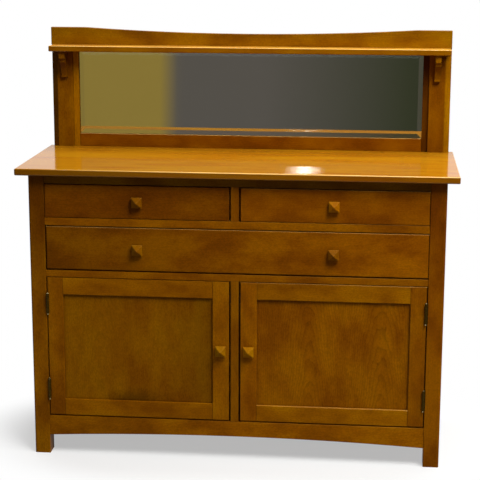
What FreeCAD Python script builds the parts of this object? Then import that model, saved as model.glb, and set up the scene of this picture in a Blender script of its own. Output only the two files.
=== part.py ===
import FreeCAD
import Part
import Sketcher

import math
import os
from types import SimpleNamespace

# A chiffonier with a mirror back. Four legs, joined by tenoned rails, carry a top board.
# Below the top are two small drawers, one long drawer and a cupboard with two panelled doors.
# A gallery stands on the top: two posts, a bevelled mirror in its frame, a shelf on corbels and a crest.
# Millimetres. X runs to the right, the front faces -Y and Z is up.
# The origin is on the floor, under the middle of the top board.

SIZES = (
    ("top_width", 1338.0, "top board, left to right"),
    ("top_depth", 496.0, "top board, front to back"),
    ("top_thick", 21.0, "top board"),
    ("top_height", 914.0, "floor to the worktop"),
    ("top_round", 4.0, "rounded edge of the top board"),
    ("front_overhang", 28.0, "top board past the legs at the front"),
    ("arris", 1.5, "eased edge of a board that shows"),
    ("side_overhang", 35.5, "top board past the legs at each side"),
    ("leg_width", 48.5, "leg, seen from the front"),
    ("leg_depth", 52.0, "leg, seen from the side"),
    ("leg_round", 6.0, "rounded outer front edge of a leg"),
    ("rail_thick", 22.0, "front rails, front to back"),
    ("rail_setback", 1.5, "front rails behind the faces of the legs"),
    ("top_rail_height", 27.0, "rail under the top board"),
    ("small_opening", 106.0, "height of the small drawers' openings"),
    ("drawer_rail_height", 24.0, "rail between the rows of drawers"),
    ("long_opening", 141.0, "height of the long drawer's opening"),
    ("middle_rail_height", 21.0, "rail between the long drawer and the doors"),
    ("bottom_rail_height", 64.0, "arched rail under the doors, and the side and back rails there"),
    ("foot_height", 60.5, "floor to the lower edge of the bottom rails"),
    ("arch_rise", 16.0, "rise of the bottom rail's arch"),
    ("mullion_width", 25.0, "upright between the doors, and between the small drawers"),
    ("tenon_length", 20.0, "tenon into a leg or a door stile"),
    ("tenon_thick", 9.0, "tenon of a rail"),
    ("tenon_shoulder", 4.0, "rail's edge to its tenon"),
    ("stub_length", 8.0, "short tenon or housing"),
    ("side_rail_thick", 20.0, "side rails"),
    ("side_setback", 4.0, "side rails behind the outer faces of the legs"),
    ("side_rail_height", 70.0, "side rail under the top board"),
    ("panel_thick", 6.0, "side panels and door panels"),
    ("groove_depth", 8.0, "groove that holds a panel"),
    ("panel_clear", 1.0, "room for a panel to swell in its groove"),
    ("back_panel_thick", 6.0, "back panel"),
    ("back_rabbet", 8.0, "back panel into the rear legs"),
    ("back_rail_thick", 20.0, "back rails, front to back"),
    ("back_rail_height", 50.0, "back rail under the top board"),
    ("floor_thick", 16.0, "cupboard floor"),
    ("floor_drop", 6.0, "cupboard floor below the bottom rail's upper edge"),
    ("floor_groove", 6.0, "cupboard floor into the bottom rails"),
    ("board_shelf_thick", 18.0, "shelf inside the cupboard"),
    ("board_shelf_height", 215.0, "cupboard floor to the underside of the shelf"),
    ("board_shelf_setback", 60.0, "shelf's front edge behind the doors' faces"),
    ("board_shelf_clear", 1.0, "shelf to the legs and the back"),
    ("cleat_height", 20.0, "strips under the shelf"),
    ("cleat_reach", 14.0, "strips past the legs, under the shelf"),
    ("drawer_gap", 1.5, "drawer to the leg that it runs beside"),
    ("divider_gap", 5.0, "small drawer to the divider"),
    ("long_drawer_gap", 4.0, "long drawer to the left leg"),
    ("small_head_gap", 3.0, "small drawer front to the rail above"),
    ("small_foot_gap", 1.5, "small drawer front to the rail below"),
    ("long_head_gap", 3.0, "long drawer front to the rail above"),
    ("long_foot_gap", 4.5, "long drawer front to the rail below"),
    ("drawer_front_thick", 20.0, "drawer front"),
    ("drawer_side_thick", 12.0, "drawer side"),
    ("drawer_rear_gap", 25.5, "rear of a drawer to the back rails"),
    ("drawer_top_gap", 8.0, "drawer sides below the top of their opening"),
    ("drawer_back_thick", 10.0, "drawer back"),
    ("drawer_back_inset", 10.0, "drawer back before the ends of the sides"),
    ("drawer_back_drop", 4.0, "drawer back below the top of the sides"),
    ("drawer_bottom_thick", 5.0, "drawer bottom"),
    ("drawer_bottom_lift", 9.0, "drawer bottom above the lower edge of the sides"),
    ("drawer_groove", 5.0, "drawer bottom and back into the sides"),
    ("slide_clear", 0.3, "drawer sides above their runners"),
    ("tail_length", 13.0, "dovetail into a drawer front"),
    ("tail_wide", 26.0, "dovetail at its end"),
    ("tail_narrow", 18.0, "dovetail at its root"),
    ("runner_width", 40.0, "drawer runner"),
    ("runner_thick", 18.0, "drawer runner"),
    ("runner_housing", 6.0, "drawer runner into the front and back rails"),
    ("guide_width", 20.0, "strip beside a runner"),
    ("guide_height", 25.0, "strip above its runner"),
    ("door_gap", 3.0, "door to the leg that it hangs on"),
    ("mullion_gap", 5.0, "door to the mullion"),
    ("door_head_gap", 2.0, "door to the rail above"),
    ("door_foot_gap", 4.0, "door to the bottom rail"),
    ("door_thick", 20.0, "door frame"),
    ("stile_width", 51.0, "door stile with the knob"),
    ("hinge_stile_width", 48.5, "door stile with the hinges"),
    ("door_rail_height", 54.0, "upper door rail"),
    ("lower_door_rail", 52.0, "lower door rail"),
    ("door_recess", 7.0, "door panel behind the face of its frame"),
    ("knob_size", 32.0, "square knob, side to side"),
    ("knob_neck", 5.0, "round neck of a knob, front to back"),
    ("knob_edge", 8.0, "square block of a knob, front to back"),
    ("knob_peak", 12.0, "pyramid of a knob, front to back"),
    ("knob_tip", 1.5, "blunt tip of the pyramid"),
    ("neck_radius", 9.0, "round neck of a knob"),
    ("spigot_radius", 5.0, "knob's spigot through the wood"),
    ("door_knob_lift", 3.0, "door knob above the middle of the door"),
    ("hinge_length", 64.0, "butt hinge"),
    ("hinge_inset", 52.0, "upper hinge to the top of the door opening"),
    ("lower_hinge_inset", 58.0, "lower hinge to the bottom of the door opening"),
    ("leaf_width", 16.0, "hinge leaf in the wood"),
    ("leaf_thick", 1.6, "hinge leaf"),
    ("barrel_radius", 4.0, "hinge barrel"),
    ("barrel_clear", 0.4, "hinge barrel before the face of the leg"),
    ("barrel_inset", 3.0, "hinge barrel towards the door, from the middle of its gap"),
    ("knuckle_gap", 0.2, "gap between knuckles"),
    ("pin_radius", 2.0, "hinge pin"),
    ("pin_clear", 0.05, "hinge pin in the door's knuckles"),
    ("pin_head_radius", 3.4, "button on the ends of a hinge pin"),
    ("pin_head_height", 3.0, "button on the ends of a hinge pin"),
    ("screw_head_radius", 3.0, "countersunk screw head"),
    ("screw_radius", 1.5, "screw shank"),
    ("screw_head_depth", 1.5, "countersunk screw head"),
    ("screw_length", 14.0, "screws of the hinges and straps"),
    ("screw_clear", 0.1, "room round a screw in its hole"),
    ("screw_inset", 10.0, "hinge screw to the end of its leaf"),
    ("top_screw_bite", 11.0, "top screws into the top board"),
    ("catch_height", 28.0, "magnetic catch and its strikes"),
    ("catch_depth", 14.0, "magnetic catch, front to back"),
    ("catch_drop", 45.0, "catch below the top of the door opening"),
    ("catch_gap", 0.4, "catch to its strikes"),
    ("strike_width", 22.0, "strike plate"),
    ("strike_thick", 1.5, "strike plate"),
    ("strike_inset", 2.0, "strike plate to the edge of the door"),
    ("post_outset", 20.0, "gallery posts past the outer faces of the legs"),
    ("post_width", 70.0, "gallery post, seen from the front"),
    ("post_thick", 22.0, "gallery post, front to back"),
    ("chamfer_width", 18.0, "outer chamfer of a post, seen from the front"),
    ("chamfer_depth", 10.0, "outer chamfer of a post, front to back"),
    ("post_tenon_width", 30.0, "tenon at the ends of a post"),
    ("post_tenon_thick", 8.0, "tenon at the ends of a post"),
    ("post_foot_length", 10.0, "post's tenon into the top board"),
    ("shelf_rise", 337.0, "worktop to the upper face of the gallery shelf"),
    ("shelf_inset", 3.0, "ends of the gallery shelf inside the outer faces of the posts"),
    ("shelf_depth", 60.0, "gallery shelf, front to back"),
    ("shelf_thick", 19.0, "gallery shelf"),
    ("shelf_round", 3.0, "rounded edge of the gallery shelf"),
    ("crest_height", 56.0, "crest at its ends"),
    ("crest_thick", 20.0, "crest, front to back"),
    ("crest_dip", 17.0, "dip in the middle of the crest"),
    ("crest_flat", 112.0, "straight end of the crest's upper edge"),
    ("corbel_thick", 19.5, "corbel, seen from the front"),
    ("corbel_depth", 50.0, "corbel under the shelf, front to back"),
    ("corbel_height", 88.0, "corbel"),
    ("corbel_block", 24.0, "square head of a corbel"),
    ("corbel_cove", 9.0, "cove under the head of a corbel"),
    ("corbel_ledge", 3.0, "small step under the cove, each way"),
    ("corbel_foot_depth", 12.0, "foot of a corbel, front to back"),
    ("corbel_foot_height", 8.0, "foot of a corbel"),
    ("scoop_radius", 80.0, "hollow front of a corbel"),
    ("frame_setback", 6.0, "mirror frame behind the faces of the posts"),
    ("frame_thick", 14.0, "mirror frame, front to back"),
    ("frame_stile", 19.5, "upright of the mirror frame"),
    ("frame_bottom", 43.0, "bottom rail of the mirror frame"),
    ("frame_top", 20.0, "top rail of the mirror frame"),
    ("frame_tenon", 10.0, "tenon of the mirror frame's rails"),
    ("frame_tenon_thick", 4.0, "tenon of the mirror frame's rails"),
    ("frame_tenon_shoulder", 3.0, "edge of a mirror frame's rail, or its rabbet, to the tenon"),
    ("lip_thick", 4.0, "frame before the glass"),
    ("lip_cover", 6.0, "frame over the edge of the glass"),
    ("glass_thick", 5.0, "mirror glass"),
    ("glass_clear", 0.5, "mirror glass and its backboard in the frame"),
    ("bevel_width", 20.0, "bevel round the glass"),
    ("bevel_drop", 1.0, "bevel, front to back"),
    ("strap_width", 26.0, "steel strap behind a post"),
    ("strap_thick", 2.5, "steel strap"),
    ("strap_reach", 70.0, "strap above and below the top board"),
    ("strap_near", 20.0, "first screw of a strap to the top board"),
    ("strap_far", 55.0, "second screw of a strap to the top board"),
)

HINGE_KNUCKLES = 5
UPPER_DRAWER_TAIL_COUNT = 2
LOWER_DRAWER_TAIL_COUNT = 3
TOP_SCREW_PLACES = (-0.75, -0.25, 0.25, 0.75)
SIDES = (("left", -1), ("right", 1))


class Size:
    """A length that knows its number and the expression on the sheet that gives it."""

    def __init__(self, text, value):
        self.text = text
        self.value = value

    def __add__(self, other):
        other = sized(other)
        return Size(f"({self.text} + {other.text})", self.value + other.value)

    def __sub__(self, other):
        other = sized(other)
        return Size(f"({self.text} - {other.text})", self.value - other.value)

    def __mul__(self, other):
        other = sized(other)
        return Size(f"({self.text} * {other.text})", self.value * other.value)

    def __truediv__(self, other):
        other = sized(other)
        return Size(f"({self.text} / {other.text})", self.value / other.value)

    def __rmul__(self, other):
        return sized(other) * self

    def __neg__(self):
        return Size(f"(-{self.text})", -self.value)


def sized(value):
    if isinstance(value, Size):
        return value
    return Size(f"({value})", float(value))


def larger(one, other):
    return Size(f"max({one.text}; {other.text})", max(one.value, other.value))


def middle(span):
    return (sized(span[0]) + span[1]) / 2


def about(centre, width):
    return (centre - width / 2, centre + width / 2)


def beside(sign, near, far):
    """The span between two distances from the middle, on the left (-1) or the right (1)."""
    return (near, far) if sign > 0 else (-far, -near)


doc = FreeCAD.newDocument("chiffonier")
sheet = doc.addObject("Spreadsheet::Sheet", "Sizes")
for row, (name, value, words) in enumerate(SIZES, 1):
    sheet.set(f"A{row}", name)
    sheet.set(f"B{row}", str(value))
    sheet.setAlias(f"B{row}", name)
    sheet.set(f"C{row}", words)
doc.recompute()
s = SimpleNamespace(**{name: Size(f"Sizes.{name}", value) for name, value, words in SIZES})

nodes = {}


def node(label, thing):
    thing.Label = label
    nodes[label] = thing


def bind(thing, **lengths):
    for name, length in lengths.items():
        thing.setExpression(name, sized(length).text)


def put(thing, x, y, z):
    bind(thing, **{"Placement.Base.x": x, "Placement.Base.y": y, "Placement.Base.z": z})


def block(x, y, z):
    """A square-edged board between pairs of places along X, Y and Z."""
    box = doc.addObject("Part::Box", "block")
    bind(box, Length=sized(x[1]) - x[0], Width=sized(y[1]) - y[0], Height=sized(z[1]) - z[0])
    put(box, x[0], y[0], z[0])
    return box


def tapered(near_x, near_z, far_x, far_z, y):
    """A solid that changes from one rectangle at its front to another at its back."""
    wedge = doc.addObject("Part::Wedge", "tapered")
    bind(wedge, Xmin=near_x[0], Xmax=near_x[1], Zmin=near_z[0], Zmax=near_z[1])
    bind(wedge, X2min=far_x[0], X2max=far_x[1], Z2min=far_z[0], Z2max=far_z[1])
    bind(wedge, Ymin=y[0], Ymax=y[1])
    return wedge


TURNS = {
    "+x": ((0, 1, 0), 90),
    "-x": ((0, 1, 0), -90),
    "+y": ((1, 0, 0), -90),
    "-y": ((1, 0, 0), 90),
    "+z": ((0, 0, 1), 0),
    "-z": ((1, 0, 0), 180),
}


def turned(kind, start, toward, **lengths):
    """A cylinder or cone that starts at a place and points along an axis."""
    thing = doc.addObject(f"Part::{kind}", kind.lower())
    axis, angle = TURNS[toward]
    thing.Placement.Rotation = FreeCAD.Rotation(FreeCAD.Vector(*axis), angle)
    bind(thing, **lengths)
    put(thing, *start)
    return thing


def joined(*solids):
    fusion = doc.addObject("Part::MultiFuse", "joined")
    fusion.Shapes = list(solids)
    fusion.Refine = True
    return fusion


def cut(base, *tools):
    piece = doc.addObject("Part::Cut", "cut")
    piece.Base = base
    piece.Tool = tools[0] if len(tools) == 1 else joined(*tools)
    return piece


def group(*solids):
    several = doc.addObject("Part::Compound", "group")
    several.Links = list(solids)
    return several


FACES = {
    "left": ("X", "XMin"),
    "right": ("X", "XMax"),
    "front": ("Y", "YMin"),
    "back": ("Y", "YMax"),
    "bottom": ("Z", "ZMin"),
    "top": ("Z", "ZMax"),
}


def lies_on(edge, box, *faces):
    for face in faces:
        axis, bound = FACES[face]
        if any(abs(getattr(vertex, axis) - getattr(box, bound)) > 1e-6 for vertex in edge.Vertexes):
            return False
    return True


def eased(base, radius, *corners, skip=()):
    """Rounds the edges that lie on all the faces of one of the corners, and on none of those to skip."""
    doc.recompute()
    box = base.Shape.BoundBox
    reach = min(radius.value, 0.45 * min(box.XLength, box.YLength, box.ZLength))
    edges = []
    for index, edge in enumerate(base.Shape.Edges, 1):
        chosen = any(lies_on(edge, box, *faces) for faces in corners)
        if chosen and not any(lies_on(edge, box, face) for face in skip):
            edges.append((index, reach, reach))
    piece = doc.addObject("Part::Fillet", "eased")
    piece.Base = base
    piece.Edges = edges
    return piece


def hollow_side(start, end, radius):
    """An arc from start to end that bends into an outline drawn counter-clockwise."""
    chord = end - start
    outward = FreeCAD.Vector(chord.y, -chord.x, 0) / chord.Length
    centre = (start + end) / 2 + outward * math.sqrt(radius ** 2 - chord.Length ** 2 / 4)
    angles = [math.atan2(point.y - centre.y, point.x - centre.x) for point in (end, start)]
    if angles[1] < angles[0]:
        angles[1] += 2 * math.pi
    return Part.ArcOfCircle(Part.Circle(centre, FreeCAD.Vector(0, 0, 1), radius), *angles)


def profile(plane, corners, depth, start, hollows=None, backward=False):
    """A padded outline of straight and hollow sides, counter-clockwise from its first corner."""
    hollows = hollows or {}
    body = doc.addObject("PartDesign::Body", "profile")
    sketch = body.newObject("Sketcher::SketchObject", "outline")
    sketch.AttachmentSupport = [(next(f for f in body.Origin.OriginFeatures if f.Role == plane), "")]
    sketch.MapMode = "FlatFace"
    places = [(sized(across), sized(up)) for across, up in corners]
    points = [FreeCAD.Vector(across.value, up.value, 0) for across, up in places]
    ends = []
    for index, point in enumerate(points):
        following = points[(index + 1) % len(points)]
        if index in hollows:
            sketch.addGeometry(hollow_side(point, following, hollows[index].value), False)
            ends.append((2, 1))
        else:
            sketch.addGeometry(Part.LineSegment(point, following), False)
            ends.append((1, 2))

    def fix(length, *constraint):
        index = sketch.addConstraint(Sketcher.Constraint(*constraint, length.value))
        sketch.setExpression(f"Constraints[{index}]", length.text)

    for index, (across, up) in enumerate(places):
        after = (index + 1) % len(points)
        sketch.addConstraint(Sketcher.Constraint("Coincident", index, ends[index][1], after, ends[after][0]))
        for kind, length, axis in (("DistanceX", across, -2), ("DistanceY", up, -1)):
            if length.value == 0:
                sketch.addConstraint(Sketcher.Constraint("PointOnObject", index, ends[index][0], axis))
            else:
                fix(length, kind, -1, 1, index, ends[index][0])
    for index, radius in hollows.items():
        fix(radius, "Radius", index)
    pad = body.newObject("PartDesign::Pad", "pad")
    pad.Profile = sketch
    pad.Reversed = backward
    bind(pad, Length=depth)
    put(body, *start)
    return body


def tongue(along, thin, x, y, z, length, thick, shoulder):
    """The core of a rail, which stands out of both its ends as a tenon."""
    spans = {"x": x, "y": y, "z": z}
    wide = next(axis for axis in "xyz" if axis not in (along, thin))
    core = {
        along: (spans[along][0] - length, spans[along][1] + length),
        thin: about(middle(spans[thin]), thick),
        wide: (spans[wide][0] + shoulder, spans[wide][1] - shoulder),
    }
    return block(**core)


def arc_radius(half_chord, rise):
    return (half_chord * half_chord + rise * rise) / (rise * 2)


def screw(start, toward, length, room=0):
    """A countersunk screw, or its hole when it is given room."""
    head = turned(
        "Cone", start, toward,
        Radius1=s.screw_head_radius + room, Radius2=s.screw_radius + room, Height=s.screw_head_depth,
    )
    return joined(head, turned("Cylinder", start, toward, Radius=s.screw_radius + room, Height=length))


def screws_and_holes(places, toward, length):
    screws = [screw(place, toward, length) for place in places]
    holes = [screw(place, toward, length + s.screw_clear, s.screw_clear) for place in places]
    return screws, holes


# Places that several pieces share
top_half = s.top_width / 2
half_case = top_half - s.side_overhang
leg_in = half_case - s.leg_width
half_mullion = s.mullion_width / 2
back = s.top_depth / 2
front = s.front_overhang - back
face = front + s.rail_setback
rail_back = face + s.rail_thick
front_leg_back = front + s.leg_depth
rear_leg_front = back - s.leg_depth
panel_front = back - s.back_panel_thick
back_rail_front = panel_front - s.back_rail_thick

case_top = s.top_height - s.top_thick
small_top = case_top - s.top_rail_height
small_bottom = small_top - s.small_opening
long_top = small_bottom - s.drawer_rail_height
long_bottom = long_top - s.long_opening
door_top = long_bottom - s.middle_rail_height
case_bottom = s.foot_height
door_bottom = case_bottom + s.bottom_rail_height
floor_top = door_bottom - s.floor_drop

side_out = half_case - s.side_setback
side_in = side_out - s.side_rail_thick
side_middle = middle((side_in, side_out))
side_panel_in = side_middle - s.panel_thick / 2

gallery_half = half_case + s.post_outset
post_in = gallery_half - s.post_width
post_face = back - s.post_thick
shelf_top = s.top_height + s.shelf_rise
shelf_bottom = shelf_top - s.shelf_thick


# Front rails, the divider and the mullion
def front_rail(bottom, top):
    spans = {"x": (-leg_in, leg_in), "y": (face, rail_back), "z": (bottom, top)}
    core = tongue("x", "y", **spans, length=s.tenon_length, thick=s.tenon_thick, shoulder=s.tenon_shoulder)
    return joined(block(**spans), core)


def front_upright(bottom, top):
    spans = {"x": (-half_mullion, half_mullion), "y": (face, rail_back), "z": (bottom, top)}
    core = tongue("z", "y", **spans, length=s.stub_length, thick=s.tenon_thick, shoulder=s.tenon_shoulder)
    return joined(block(**spans), core)


top_rail = front_rail(small_top, case_top)
drawer_rail = front_rail(long_top, small_bottom)
middle_rail = front_rail(door_top, long_bottom)

arch = profile(
    "XZ_Plane",
    [(0, 0), (leg_in * 2, 0), (leg_in * 2, s.bottom_rail_height), (0, s.bottom_rail_height)],
    s.rail_thick, (-leg_in, face, case_bottom),
    hollows={0: arc_radius(leg_in, s.arch_rise)}, backward=True,
)
arch_core = block(
    (-leg_in - s.tenon_length, leg_in + s.tenon_length),
    about(middle((face, rail_back)), s.tenon_thick),
    (case_bottom + s.arch_rise + s.tenon_shoulder, door_bottom - s.tenon_shoulder),
)
bottom_rail = joined(arch, arch_core)
front_rails = [top_rail, drawer_rail, middle_rail, bottom_rail]

divider = front_upright(small_bottom, small_top)
mullion = front_upright(door_bottom, door_top)


# Side rails and side panels
def side_rail(sign, bottom, top):
    spans = {"x": beside(sign, side_in, side_out), "y": (front_leg_back, rear_leg_front), "z": (bottom, top)}
    core = tongue("y", "x", **spans, length=s.tenon_length, thick=s.tenon_thick, shoulder=s.groove_depth)
    return joined(block(**spans), core)


side_panel_bottom = case_bottom + s.bottom_rail_height
side_panel_top = case_top - s.side_rail_height


def side_panel(sign, room):
    """A side panel, or its groove when it is given no room."""
    hold = s.groove_depth - room
    return block(
        beside(sign, side_panel_in, side_panel_in + s.panel_thick),
        (front_leg_back - hold, rear_leg_front + hold),
        (side_panel_bottom - hold, side_panel_top + hold),
    )


side_rails = {}
side_grooves = {}
for name, sign in SIDES:
    upper = side_rail(sign, side_panel_top, case_top)
    lower = side_rail(sign, case_bottom, side_panel_bottom)
    side_rails[name] = (upper, lower)
    side_grooves[name] = side_panel(sign, 0)


# Back rails and back panel
def back_rail(bottom, top):
    spans = {"x": (-leg_in, leg_in), "y": (back_rail_front, panel_front), "z": (bottom, top)}
    core = tongue("x", "y", **spans, length=s.tenon_length, thick=s.tenon_thick, shoulder=s.tenon_shoulder)
    return joined(block(**spans), core)


back_top_rail = back_rail(case_top - s.back_rail_height, case_top)
back_drawer_rail = back_rail(long_top, small_bottom)
back_middle_rail = back_rail(door_top, long_bottom)
back_bottom_rail = back_rail(case_bottom, door_bottom)
back_rails = [back_top_rail, back_drawer_rail, back_middle_rail, back_bottom_rail]

panel_half = leg_in + s.back_rabbet
back_panel = block((-panel_half, panel_half), (panel_front, back), (case_bottom, case_top))
node("back_panel", back_panel)


# Drawer runners, and the guides that keep the drawers straight
def runner(x, top):
    y = (rail_back - s.runner_housing, back_rail_front + s.runner_housing)
    return block(x, y, (top - s.runner_thick, top))


def side_guide(sign, top):
    return block(
        beside(sign, leg_in, leg_in + s.guide_width),
        (front_leg_back, rear_leg_front),
        (top - s.runner_thick, top + s.guide_height),
    )


upper_runners = [runner(beside(sign, leg_in - s.runner_width, leg_in), small_bottom) for name, sign in SIDES]
upper_runners.append(runner((-s.runner_width, s.runner_width), small_bottom))
lower_runners = [runner(beside(sign, leg_in - s.runner_width, leg_in), long_bottom) for name, sign in SIDES]
guides = [side_guide(sign, top) for top in (small_bottom, long_bottom) for name, sign in SIDES]
guides.append(
    block(
        (-half_mullion, half_mullion),
        (rail_back, back_rail_front),
        (small_bottom, small_bottom + s.guide_height),
    )
)
node("drawer_runners", group(*upper_runners, *lower_runners, *guides))

# Screws that hold the top board to the front and back rails
front_screws, front_screw_holes = screws_and_holes(
    [(leg_in * place, middle((face, rail_back)), small_top) for place in TOP_SCREW_PLACES],
    "+z", s.top_rail_height + s.top_screw_bite,
)
back_screws, back_screw_holes = screws_and_holes(
    [
        (leg_in * place, middle((back_rail_front, panel_front)), case_top - s.back_rail_height)
        for place in TOP_SCREW_PLACES
    ],
    "+z", s.back_rail_height + s.top_screw_bite,
)

# Cupboard floor, shelf and the cleats under the shelf
floor_blank = block(
    (-side_in - s.floor_groove, side_in + s.floor_groove),
    (rail_back - s.floor_groove, back_rail_front + s.floor_groove),
    (floor_top - s.floor_thick, floor_top),
)
leg_spaces = [
    block(beside(sign, leg_in, half_case), y, (0, case_top))
    for y in ((front, front_leg_back), (rear_leg_front, back))
    for name, sign in SIDES
]
node("cupboard_floor", cut(floor_blank, *leg_spaces))

cleat_top = floor_top + s.board_shelf_height
cleat_z = (cleat_top - s.cleat_height, cleat_top)
cleats = [
    block(beside(sign, leg_in - s.cleat_reach, side_panel_in), (front_leg_back, rear_leg_front), cleat_z)
    for name, sign in SIDES
]
cleats.append(block((-leg_in, leg_in), (panel_front - s.cleat_height, panel_front), cleat_z))
node("shelf_cleats", group(*cleats))
shelf_half = leg_in - s.board_shelf_clear
cupboard_shelf = block(
    (-shelf_half, shelf_half),
    (face + s.board_shelf_setback, panel_front - s.board_shelf_clear),
    (cleat_top, cleat_top + s.board_shelf_thick),
)
node("cupboard_shelf", eased(cupboard_shelf, s.arris, ("front",)))

node("front_top_rail", cut(top_rail, divider, *front_screw_holes))
node("drawer_rail", cut(drawer_rail, divider, *upper_runners))
node("middle_rail", cut(middle_rail, mullion, *lower_runners))
node("front_bottom_rail", cut(bottom_rail, mullion, floor_blank))
node("drawer_divider", divider)
node("door_mullion", mullion)
node(
    "back_rails",
    group(
        cut(back_top_rail, *back_screw_holes),
        cut(back_drawer_rail, *upper_runners),
        cut(back_middle_rail, *lower_runners),
        cut(back_bottom_rail, floor_blank),
    ),
)
grooved_rails = []
for name, sign in SIDES:
    upper, lower = side_rails[name]
    groove = side_grooves[name]
    grooved_rails += [cut(upper, groove), cut(lower, groove, floor_blank)]
    node(f"side_panel_{name}", side_panel(sign, s.panel_clear))
node("side_rails", group(*grooved_rails))

# Butt hinges, with three knuckles on the case leaf and two on the door leaf
hinge_bottoms = (door_bottom + s.lower_hinge_inset, door_top - s.hinge_inset - s.hinge_length)
pivot_x = leg_in - s.door_gap / 2 - s.barrel_inset
pivot_y = front - s.barrel_radius - s.barrel_clear
leaf_front = pivot_y + s.barrel_radius + s.knuckle_gap
leaf_back = leaf_front + s.leaf_width
web_back = leaf_front - 2 * s.knuckle_gap
web_front = web_back - s.leaf_thick
knuckle_pitch = s.hinge_length / HINGE_KNUCKLES


def hinge_leaf(sign, near, far, bottom, knuckles, holes):
    """A leaf in the wood, with webs that run from it along the back of its knuckles."""
    leaf_x = beside(sign, near, far)
    web_x = beside(sign, pivot_x, far)
    pieces = [block(leaf_x, (leaf_front, leaf_back), (bottom, bottom + s.hinge_length))]
    for knuckle in knuckles:
        low = bottom + knuckle_pitch * knuckle + s.knuckle_gap / 2
        height = knuckle_pitch - s.knuckle_gap
        pieces += [
            turned("Cylinder", (pivot_x * sign, pivot_y, low), "+z", Radius=s.barrel_radius, Height=height),
            block(web_x, (web_front, web_back), (low, low + height)),
            block(leaf_x, (web_front, leaf_front), (low, low + height)),
        ]
    bore = turned(
        "Cylinder", (pivot_x * sign, pivot_y, bottom), "+z",
        Radius=s.pin_radius + s.pin_clear, Height=s.hinge_length,
    )
    return cut(joined(*pieces), bore, *holes)


def hinge_pin(sign, bottom):
    top = bottom + s.hinge_length
    centre = (pivot_x * sign, pivot_y)
    return joined(
        turned("Cylinder", (*centre, bottom), "+z", Radius=s.pin_radius, Height=s.hinge_length),
        turned(
            "Cone", (*centre, top), "+z",
            Radius1=s.pin_head_radius, Radius2=s.pin_radius, Height=s.pin_head_height,
        ),
        turned(
            "Cone", (*centre, bottom), "-z",
            Radius1=s.pin_head_radius, Radius2=s.pin_radius, Height=s.pin_head_height,
        ),
    )


def hinge_screw_places(x, bottom):
    heights = (bottom + s.screw_inset, bottom + s.hinge_length / 2, bottom + s.hinge_length - s.screw_inset)
    return [(x, middle((leaf_front, leaf_back)), height) for height in heights]


case_hinges = {}
door_hinges = {}
pins = []
for name, sign in SIDES:
    into_leg, into_door = ("+x", "-x") if sign > 0 else ("-x", "+x")
    case_hinges[name] = SimpleNamespace(leaves=[], screws=[], holes=[])
    door_hinges[name] = SimpleNamespace(leaves=[], screws=[], holes=[])
    for bottom in hinge_bottoms:
        pins.append(hinge_pin(sign, bottom))
        for hinges, x, near, far, toward, first in (
            (case_hinges[name], leg_in, leg_in, leg_in + s.leaf_thick, into_leg, 0),
            (
                door_hinges[name], leg_in - s.door_gap, leg_in - s.door_gap - s.leaf_thick,
                leg_in - s.door_gap, into_door, 1,
            ),
        ):
            screws, holes = screws_and_holes(hinge_screw_places(x * sign, bottom), toward, s.screw_length)
            knuckles = range(first, HINGE_KNUCKLES, 2)
            hinges.leaves.append(hinge_leaf(sign, near, far, bottom, knuckles, holes))
            hinges.screws += screws
            hinges.holes += holes
node("hinge_case_leaves", group(*case_hinges["left"].leaves, *case_hinges["right"].leaves))
node("hinge_pins", group(*pins))

# Steel straps, let in flush behind the gallery posts and the rear legs
straps = {}
strap_screws = {}
strap_holes = {}
for name, sign in SIDES:
    strap_x = (half_case - s.leg_width / 2) * sign
    strap = block(
        about(strap_x, s.strap_width),
        (back - s.strap_thick, back),
        (case_top - s.strap_reach, s.top_height + s.strap_reach),
    )
    heights = (
        case_top - s.strap_far, case_top - s.strap_near,
        s.top_height + s.strap_near, s.top_height + s.strap_far,
    )
    screws, holes = screws_and_holes([(strap_x, back, height) for height in heights], "-y", s.screw_length)
    straps[name] = strap
    strap_screws[name] = screws
    strap_holes[name] = holes
node("gallery_straps", group(*(cut(straps[name], *strap_holes[name]) for name, sign in SIDES)))

# Legs, cut by what enters them
rear_legs = []
for name, sign in SIDES:
    x = beside(sign, leg_in, half_case)
    inner = "left" if sign > 0 else "right"
    sharp = block(x, (front, front_leg_back), (0, case_top))
    rounded = eased(eased(sharp, s.leg_round, ("front", name)), s.arris, ("front", inner), ("back", name))
    hinges = case_hinges[name]
    leg = cut(rounded, *front_rails, *side_rails[name], side_grooves[name], *hinges.leaves, *hinges.holes)
    node(f"front_leg_{name}", leg)
    rear = eased(block(x, (rear_leg_front, back), (0, case_top)), s.arris, ("front", name), ("back", name))
    entering = [*back_rails, back_panel, *side_rails[name], side_grooves[name], straps[name]]
    rear_legs.append(cut(rear, *entering, *strap_holes[name]))
node("rear_legs", group(*rear_legs))

# Gallery posts, with tenons into the top board and the crest
posts = {}
post_cores = {}
for name, sign in SIDES:
    wide, thick, chamfer, deep = s.post_width, s.post_thick, s.chamfer_width, s.chamfer_depth
    if sign > 0:
        outline = [(0, 0), (wide - chamfer, 0), (wide, deep), (wide, thick), (0, thick)]
    else:
        outline = [(chamfer, 0), (wide, 0), (wide, thick), (0, thick), (0, deep)]
    x = beside(sign, post_in, gallery_half)
    bare = profile("XY_Plane", outline, s.shelf_rise, (x[0], post_face, s.top_height))
    inner = "left" if sign > 0 else "right"
    post_cores[name] = block(
        about(middle(x), s.post_tenon_width),
        about(middle((post_face, post_face + s.crest_thick)), s.post_tenon_thick),
        (s.top_height - s.post_foot_length, shelf_top + s.crest_height / 2),
    )
    whole = joined(eased(bare, s.arris, ("front", inner)), post_cores[name])
    posts[name] = cut(whole, straps[name], *strap_holes[name])
    node(f"gallery_post_{name}", posts[name])

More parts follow.
